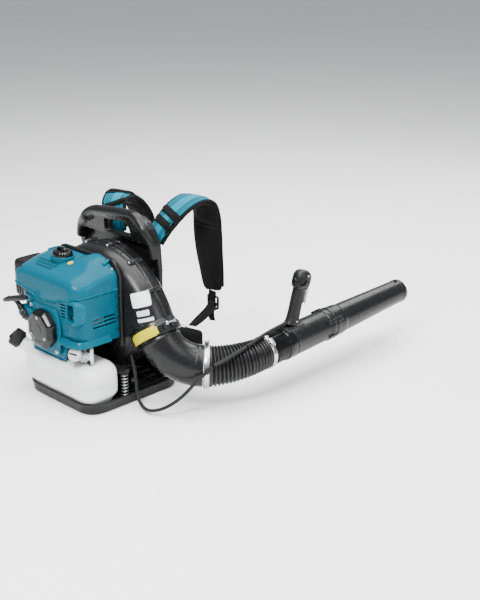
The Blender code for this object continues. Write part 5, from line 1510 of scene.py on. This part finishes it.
def make_grip():
    """Pistol grip with a flared foot, a textured shaft and a rounded head with a pale tip."""
    rings = []
    for along, half_depth, half_width, shift in (
            (0.001, 0.0235, 0.0175, 0.0), (0.004, 0.0232, 0.0172, 0.0), (0.010, 0.0204, 0.0158, 0.0),
            (0.020, 0.0190, 0.0148, 0.0), (0.045, 0.0184, 0.0143, 0.0), (0.070, 0.0186, 0.0146, 0.0),
            (0.095, 0.0188, 0.0148, 0.001), (0.1005, 0.0194, 0.0154, 0.001), (0.1035, 0.0236, 0.0186, 0.001),
            (0.108, 0.0258, 0.0204, 0.001), (0.120, 0.0268, 0.0214, 0.0015), (0.132, 0.0268, 0.0218, 0.002),
            (0.140, 0.0246, 0.0198, 0.0015), (0.146, 0.0206, 0.0166, 0.001), (0.150, 0.0140, 0.0112, 0.001),
            (0.1512, 0.0070, 0.0056, 0.001)):
        rings.append([grip_point(along, shift + a, b) for a, b in oval(40, half_depth, half_width, 0.82)])
    for p in rings[0]:
        p.z = max(p.z, GRIP_BASE.z)
    body = loft("grip", rings, [M["black"], M["textured"]], sharp=38)
    for face in body.data.polygons:
        face.material_index = 1 if 0.014 < (face.center - GRIP_BASE).dot(GRIP_AXIS) < 0.094 else 0
    parts = [body]
    for i in range(9):
        turns = [k / 6 * 1.25 for k in range(-6, 7)]
        arc = [grip_point(0.024 + i * 0.0078, -0.0184 * math.cos(a) - 0.0002,
                          0.0146 * math.sin(a)) for a in turns]
        parts.append(rod("ridge", arc, 0.0010, 8, M["textured"]))
    profile = soft_profile([(0.0001, -0.004), (0.0088, -0.004), (0.0088, 0.0015), (0.0065, 0.0030),
                            (0.0001, 0.0034)],
                           0.0012)
    parts.append(turned("tip", profile, M["glossy"],
                        aim(grip_point(0.118, -0.0262), grip_point(0.118, -0.04) - grip_point(0.118, -0.02)),
                        32))
    for x, along, out in ((-1, 0.012, 0.0158), (-1, 0.112, 0.0206), (-1, 0.138, 0.0206), (1, 0.012, 0.0158),
                          (1, 0.138, 0.0206)):
        parts.append(screw(0.0026, aim(grip_point(along, 0.002, x * out), (x, 0, 0)), M["steel"]))
    parts.append(turned("boot", soft_profile([(0.0060, 0.0), (0.0052, 0.010), (0.0040, 0.018)], 0.001),
                        M["rubber"], aim(V(CABLE_END[-1]) + V((0, 0.010, 0.001)), (0, -1, -0.1)), 24))
    assemble("grip_looks", parts, "control", "grip_housing", sharp=38)

    trigger = [(0.006, 0.003), (0.006, -0.006), (-0.018, -0.005), (-0.036, -0.003), (-0.038, 0.0015),
               (-0.026, 0.0030), (-0.014, 0.0030), (0.002, 0.004)]
    place_piece(blade("trigger_looks", trigger, -0.0075, 0.0075, grip_point(0.098, 0.0300), M["light"],
                      0.0018), "trigger",
                "throttle_trigger")
    lever = [(0.007, 0.004), (0.007, -0.004), (-0.006, -0.010), (-0.012, -0.034), (-0.018, -0.034),
             (-0.012, -0.004), (-0.006, 0.006)]
    place_piece(blade("cruise_looks", lever, 0.0, 0.004, grip_point(0.120, 0.002, 0.0232), M["satin"],
                      0.0010),
                "cruise_lever", "cruise_lever")


make_outlet()
make_hose()
make_tubes()
make_grip()


# ---- harness ----
def across_x(tangent):
    """The direction across a strap that runs along the tangent, as near to +X as it can be."""
    return (V((1, 0, 0)) - tangent * tangent.x).normalized()


def strap_frames(route, widths):
    """(point, side, outward, width) along a strap whose width runs mostly along X."""
    points = smooth_route(route, 0.005)
    total = route_length(points)
    made, run = [], 0.0
    for i, point in enumerate(points):
        tangent = tangent_at(points, i)
        side = across_x(tangent)
        share = run / total * (len(widths) - 1)
        low = min(int(share), len(widths) - 2)
        made.append((point, side, -tangent.cross(side),
                     widths[low] + (widths[low + 1] - widths[low]) * (share - low)))
        run += (points[min(i + 1, len(points) - 1)] - point).length
    return made


def pillow(name, frames, thick, mat, trim=0.0):
    """A closed rounded slab along the frames, tucked in at both ends."""
    rings = []
    last = len(frames) - 1
    for k, (point, side, out, width) in enumerate(frames):
        tuck = math.sqrt(max(0.02, 1 - (1 - min(1.0, min(k, last - k) / 5)) ** 2))
        spots = oval(32, (width / 2 - trim) * (0.80 + 0.20 * tuck), thick / 2 * tuck, 0.42, 0.75)
        rings.append([point + side * a + out * b for a, b in spots])
    return loft(name, rings, mat, sharp=None)


def puff(obj, pressure, cap, voxel, held):
    """Lets air pressure round a closed cloth shape; held(point) says which points keep their place."""
    remesh = obj.modifiers.new("skin", "REMESH")
    remesh.mode, remesh.voxel_size, remesh.use_smooth_shade = "VOXEL", voxel, True
    bake(obj, None)
    before = [v.co.copy() for v in obj.data.vertices]
    obj.vertex_groups.new(name="held").add([i for i, co in enumerate(before) if held(co)], 1.0, "REPLACE")
    cloth = obj.modifiers.new("cloth", "CLOTH")
    settings = cloth.settings
    settings.quality, settings.mass, settings.bending_stiffness = 5, 0.3, 0.4
    settings.use_pressure, settings.uniform_pressure_force = True, pressure
    settings.effector_weights.gravity = 0.0
    settings.vertex_group_mass = "held"
    cloth.point_cache.frame_start, cloth.point_cache.frame_end = 1, CLOTH_FRAMES
    for step in range(1, CLOTH_FRAMES + 1):
        bpy.context.scene.frame_set(step)
    mesh = bpy.data.meshes.new_from_object(obj.evaluated_get(bpy.context.evaluated_depsgraph_get()))
    for vertex, start in zip(mesh.vertices, before):
        shift = vertex.co - start
        if shift.length > cap:
            vertex.co = start + shift * (cap / shift.length)
    obj.modifiers.clear()
    bpy.context.scene.frame_set(1)
    obj.data = mesh
    ease = obj.modifiers.new("ease", "SMOOTH")
    ease.factor, ease.iterations = 0.5, 2
    fine = obj.modifiers.new("fine", "SUBSURF")
    fine.levels = fine.render_levels = 1
    bake(obj, None)


def cloth_strip(name, rows, mat, thick):
    """A thin woven strip through rows of points, with its weave laid along it."""
    bm = bmesh.new()
    layer = bm.loops.layers.uv.new("weave")
    grid = [[bm.verts.new(p) for p in row] for row in rows]
    along = 0.0
    for near, far in zip(grid, grid[1:]):
        middle = len(near) // 2
        step = (far[middle].co - near[middle].co).length
        across = 0.0
        for i in range(len(near) - 1):
            wide = (near[i + 1].co - near[i].co).length
            face = bm.faces.new((near[i], near[i + 1], far[i + 1], far[i]))
            spots = ((across, along), (across + wide, along), (across + wide, along + step),
                     (across, along + step))
            for corner, spot in zip(face.loops, spots):
                corner[layer].uv = spot
            across += wide
        along += step
    mesh = bpy.data.meshes.new(name)
    bm.to_mesh(mesh)
    bm.free()
    obj = new_object(name, mesh, mat, None)
    shell = obj.modifiers.new("shell", "SOLIDIFY")
    shell.thickness, shell.offset, shell.use_even_offset = thick, 0.0, True
    bake(obj, 50)
    return obj


def lay_on(tree, point, out, lift, reach=0.035):
    """The point above or below this one on a surface, lifted off it along out."""
    hit, _, _, _ = tree.ray_cast(point + out * reach, -out, reach * 2)
    return (hit if hit is not None else point) + out * lift


def surface_rows(tree, frames, first, last, left, right, lift, flip, across):
    """Rows of points on a strap's surface between two shares of its width and of its length."""
    rows = []
    for point, side, out, width in frames[int(first * (len(frames) - 1)):int(last * (len(frames) - 1)) + 1]:
        shares = [left + (right - left) * i / (across - 1) for i in range(across)]
        rows.append([lay_on(tree, point + side * (share * width), out * flip, lift) for share in shares])
    return rows


def seam_across(tree, frames, share, flip, mat, span=0.47):
    """A row of stitches across a strap."""
    point, side, out, width = frames[int(share * (len(frames) - 1))]
    stitches = []
    count = int(width * 2 * span / 0.005)
    for i in range(count):
        a = (i / count - 0.5) * 2 * span
        ends = [lay_on(tree, point + side * ((a + d) * width), out * flip, 0.0004) for d in (0.0, 0.012,
                                                                                             0.024)]
        stitches.append(rod("stitch", ends, 0.00055, 6, mat))
    return stitches


def stitch_line(rows, column, mat, gap=0.005, length=0.0032):
    """Stitches along one column of a strip's rows."""
    path = [row[column] for row in rows]
    made, run, due = [], 0.0, 0.0
    for a, b in zip(path, path[1:]):
        run += (b - a).length
        if run >= due:
            along = (b - a).normalized()
            made.append(rod("stitch", [a, a + along * length * 0.5, a + along * length], 0.0005, 6, mat))
            due = run + gap
    return made


def make_strap(side_name, route, cross_at):
    """One shoulder strap: a puffed pad, a teal cover with a paler band, piping, cross tapes and stitches."""
    frames = strap_frames(route, STRAP_WIDTHS)
    seams = (0.60, 0.93)
    seamed = [frames[int(share * (len(frames) - 1))] for share in seams]
    pad = pillow("strap_pad_" + side_name, frames, 0.0175, M["cloth"], 0.001)
    puff(pad, 4.0, 0.007, 0.0048, lambda co: any(abs((co - point).dot(side.cross(out))) < 0.004
                                                 and (co - point).length < 0.06 for point, side, out,
                                                 _ in seamed))
    node = "shoulder_strap_" + side_name
    place_piece(pad, "blower", node)
    bpy.context.view_layer.update()
    tree = surface_of(pad)

    def rows(first, last, half, lift, across, flip=1.0):
        left, right = half if isinstance(half, tuple) else (-half, half)
        return surface_rows(tree, frames, first, last, left, right, lift, flip, across)
    parts = [cloth_strip("cover", rows(0.015, 0.97, 0.42, 0.0008, 9), M["teal_cloth"], 0.0012),
             cloth_strip("band", rows(0.015, 0.97, (-0.10, 0.22), 0.0022, 7), M["teal_band"], 0.0014)]
    edges = rows(0.015, 0.97, 0.385, 0.0016, 3)
    parts += stitch_line(edges, 0, M["teal_thread"]) + stitch_line(edges, 2, M["teal_thread"])
    for edge in (-0.485, 0.485):
        line = [point + side * (edge * width) + out * 0.0030 for point, side, out, width in frames[3:-3]]
        parts.append(rod("piping", line, 0.0036, 12, M["strap"]))
    for at in cross_at:
        parts.append(cloth_strip("cross_tape", rows(at - 0.022, at + 0.022, 0.50, 0.0036, 13), M["strap"],
                                 0.0020))
        parts.append(cloth_strip("cross_loop", rows(at - 0.012, at + 0.012, 0.52, 0.0062, 13), M["strap"],
                                 0.0018))
    for share in seams:
        parts += seam_across(tree, frames, share, -1.0, M["thread"])
    parts.append(cloth_strip("end_tape", rows(0.86, 0.99, 0.16, 0.0010, 5, -1.0), M["strap"], 0.0016))
    assemble("strap_cover_" + side_name, parts, "blower", slot=node, sharp=50)
    return frames


def buckle(place):
    """A ladder-lock buckle: a frame with two bars and a grip lip."""
    width, height = 0.019, 0.017
    parts = []
    for x in (-width, width):
        parts.append(rounded_block("side", (x - 0.0025, -0.0032, -height), (x + 0.0025, 0.0032, height),
                                   0.0012, M["satin"], 2))
    for z in (-height, -0.003, height):
        parts.append(rounded_block("bar", (-width, -0.0030, z - 0.0024), (width, 0.0030, z + 0.0024), 0.0012,
                                   M["satin"], 2))
    parts.append(rounded_block("lip", (-width + 0.003, -0.0095, -height - 0.004),
                               (width - 0.003, -0.0015, -height + 0.0005), 0.0012, M["satin"], 2))
    for part in parts:
        part.data.transform(place)
    return parts


def make_webbing(side_name, frames, wing):
    """The adjusting strap below a pad: a buckle, two runs of webbing to the hip pad and a loose tail."""
    top, wing = frames[-1][0] - V((0, 0, 0.0045)), V(wing)
    centre = top - V((0, 0.001, 0.027))
    parts = buckle(move(*centre))
    runs = (([top + V((0, -0.003, 0.006)), top + V((0, -0.004, -0.008)), centre + V((0, -0.004, 0.002))],
             0.014),
            ([centre + V((0, -0.003, -0.001)), centre.lerp(wing, 0.35) + V((0.002, 0.0, 0)),
              centre.lerp(wing, 0.7), wing], 0.0095),
            ([centre + V((0, 0.004, -0.006)), centre.lerp(wing, 0.4) + V((0.014, 0.010, 0.002)),
              centre.lerp(wing, 0.75) + V((0.010, 0.008, 0)), wing + V((0.004, 0.004, 0.0))], 0.0095),
            ([centre + V((0, -0.007, -0.018)), centre + V((0.002, -0.010, -0.034)),
              centre + V((0.005, -0.008, -0.052))],
             0.012))
    for spots, half in runs:
        path = smooth_route(spots, 0.004)
        rows = []
        for i, point in enumerate(path):
            side = across_x(tangent_at(path, i))
            rows.append([point + side * (half * t) for t in (-1, -0.5, 0, 0.5, 1)])
        parts.append(cloth_strip("webbing", rows, M["strap"], 0.0016))
    assemble("webbing_" + side_name, parts, "blower", "harness_webbing_" + side_name, sharp=40)


def make_pads():
    """The back and hip pads, puffed between their sewn channels."""
    outline = dense_rectangle(-0.123, 0.093, 0.217, 0.373, (0.03, 0.03, 0.03, 0.03), 0.008)
    back = loft("back_pad_looks", outline_rings(outline, 0.1216, 0.1345, 0.006, "Y"), M["cloth"], sharp=None)
    puff(back, 4.0, 0.006, 0.0055,
         lambda co: co.y < 0.1225 or min(abs(co.z - 0.270), abs(co.z - 0.322)) < 0.003)
    place_piece(back, "blower", "back_pad")

    y, middle = 0.1204, 0.121
    corners = [(-0.145, 0.001), (0.128, 0.001), (0.150, 0.028), (0.181, 0.082), (0.162, 0.090),
               (0.130, 0.052), (0.098, 0.034), (-0.115, 0.034), (-0.153, 0.060), (-0.191, 0.104),
               (-0.209, 0.097), (-0.173, 0.030)]
    outline = densify(fillet([(px, y + py, 0.012) for px, py in corners], 4), 0.008)
    rings = outline_rings(outline, 0.0745, 0.1635, 0.007, "Z")
    for ring in rings:
        for p in ring:
            slim = ramp((abs(p.x + 0.015) - 0.135) / 0.055)
            p.z = middle + (p.z - middle) * (1 - 0.30 * slim)
    hip = loft("hip_pad_looks", rings, M["cloth"], sharp=None)
    puff(hip, 4.0, 0.006, 0.0055, lambda co: abs(co.z - middle) < 0.0035 or co.y < 0.1225)
    place_piece(hip, "blower", "hip_pad")


def make_harness():
    right = make_strap("right", RIGHT_STRAP, (0.150, 0.215))
    left = make_strap("left", LEFT_STRAP, (0.20, 0.32))
    make_webbing("right", right, (0.150, 0.185, 0.1640))
    make_webbing("left", left, (-0.165, 0.185, 0.1640))
    make_pads()


make_harness()


# ---- what the parts beneath show ----
def make_dampers():
    """Close-wound springs between the base's cups and the engine's cross beam."""
    count = 170
    sleeve = soft_profile([(0.0001, 0.0070), (0.0060, 0.0070), (0.0060, 0.0150), (0.0040, 0.0170),
                           (0.0001, 0.0170)], 0.001)
    for name, x in (("damper_spring_right", DAMPER_X), ("damper_spring_left", -DAMPER_X)):
        points = []
        for i in range(count + 1):
            a = TAU * i / 20
            points.append(V((x + 0.0085 * math.cos(a), DAMPER_Y + 0.0085 * math.sin(a),
                             0.0080 + 0.0755 * i / count)))
        assemble(name + "_looks", [rod("coil", points, 0.0017, 10, M["steel"]),
                                   turned("sleeve", sleeve, M["rubber"], move(x, DAMPER_Y, 0), 24)],
                 "blower", name, sharp=50)


def dress_parts():
    """Real finishes on the parts that show as they were packed."""
    finishes = {
        "alloy": ("crankcase", "cylinder", "piston", "carburetor", "flywheel"),
        "steel": ("crankshaft", "starter_cup", "muffler", "recoil_spring"),
        "black": ("engine_mount", "rocker_cover", "ignition_coil", "recoil_reel", "impeller", "cable_clip"),
        "light": ("spark_plug",), "rubber": ("fuel_line",), "foam": ("air_filter",),
    }
    for finish, nodes in finishes.items():
        for node in nodes:
            obj = bpy.data.objects[node]
            for slot in range(len(obj.data.materials)):
                obj.data.materials[slot] = M[finish]


make_dampers()
dress_parts()


def light_scene():
    """A pale floor, four soft lights and an even pale sky."""
    floor = bpy.data.meshes.new("floor")
    reach = 60
    floor.from_pydata([(-reach, -reach, 0), (reach, -reach, 0), (reach, reach, 0), (-reach, reach, 0)], [],
                      [(0, 1, 2, 3)])
    ground = bpy.data.objects.new("floor", floor)
    bpy.context.scene.collection.objects.link(ground)
    g = Nodes("studio_floor")
    patches = g.noise(1.2, 3.0)
    base = g.mix(g.spread(patches, 0.0, 1.0, 0.3, 0.7), (0.90, 0.90, 0.90), (0.87, 0.87, 0.87))
    floor.materials.append(g.finish(base, g.spread(patches, 0.75, 0.85)))
    for name, energy, size, spot, target in (("key", 110, 0.8, (0.9, -1.5, 2.2), (0.0, 0.0, 0.25)),
                                             ("fill", 35, 1.4, (2.6, 0.6, 1.6), (0.1, 0.1, 0.2)),
                                             ("rim", 45, 1.4, (-0.4, 2.4, 2.0), (0.1, 0.2, 0.3)),
                                             ("top", 360, 3.4, (0.3, 0.4, 3.4), (0.3, 0.4, 0.0))):
        data = bpy.data.lights.new(name, "AREA")
        data.energy, data.size = energy, size
        lamp = bpy.data.objects.new(name, data)
        lamp.location = spot
        lamp.rotation_euler = (V(target) - V(spot)).to_track_quat("-Z", "Y").to_euler()
        bpy.context.scene.collection.objects.link(lamp)
    world = bpy.data.worlds.new("studio")
    world.use_nodes = True
    sky = world.node_tree.nodes["Background"].inputs
    sky[0].default_value, sky[1].default_value = (0.93, 0.95, 0.98, 1), 0.50
    bpy.context.scene.world = world


light_scene()
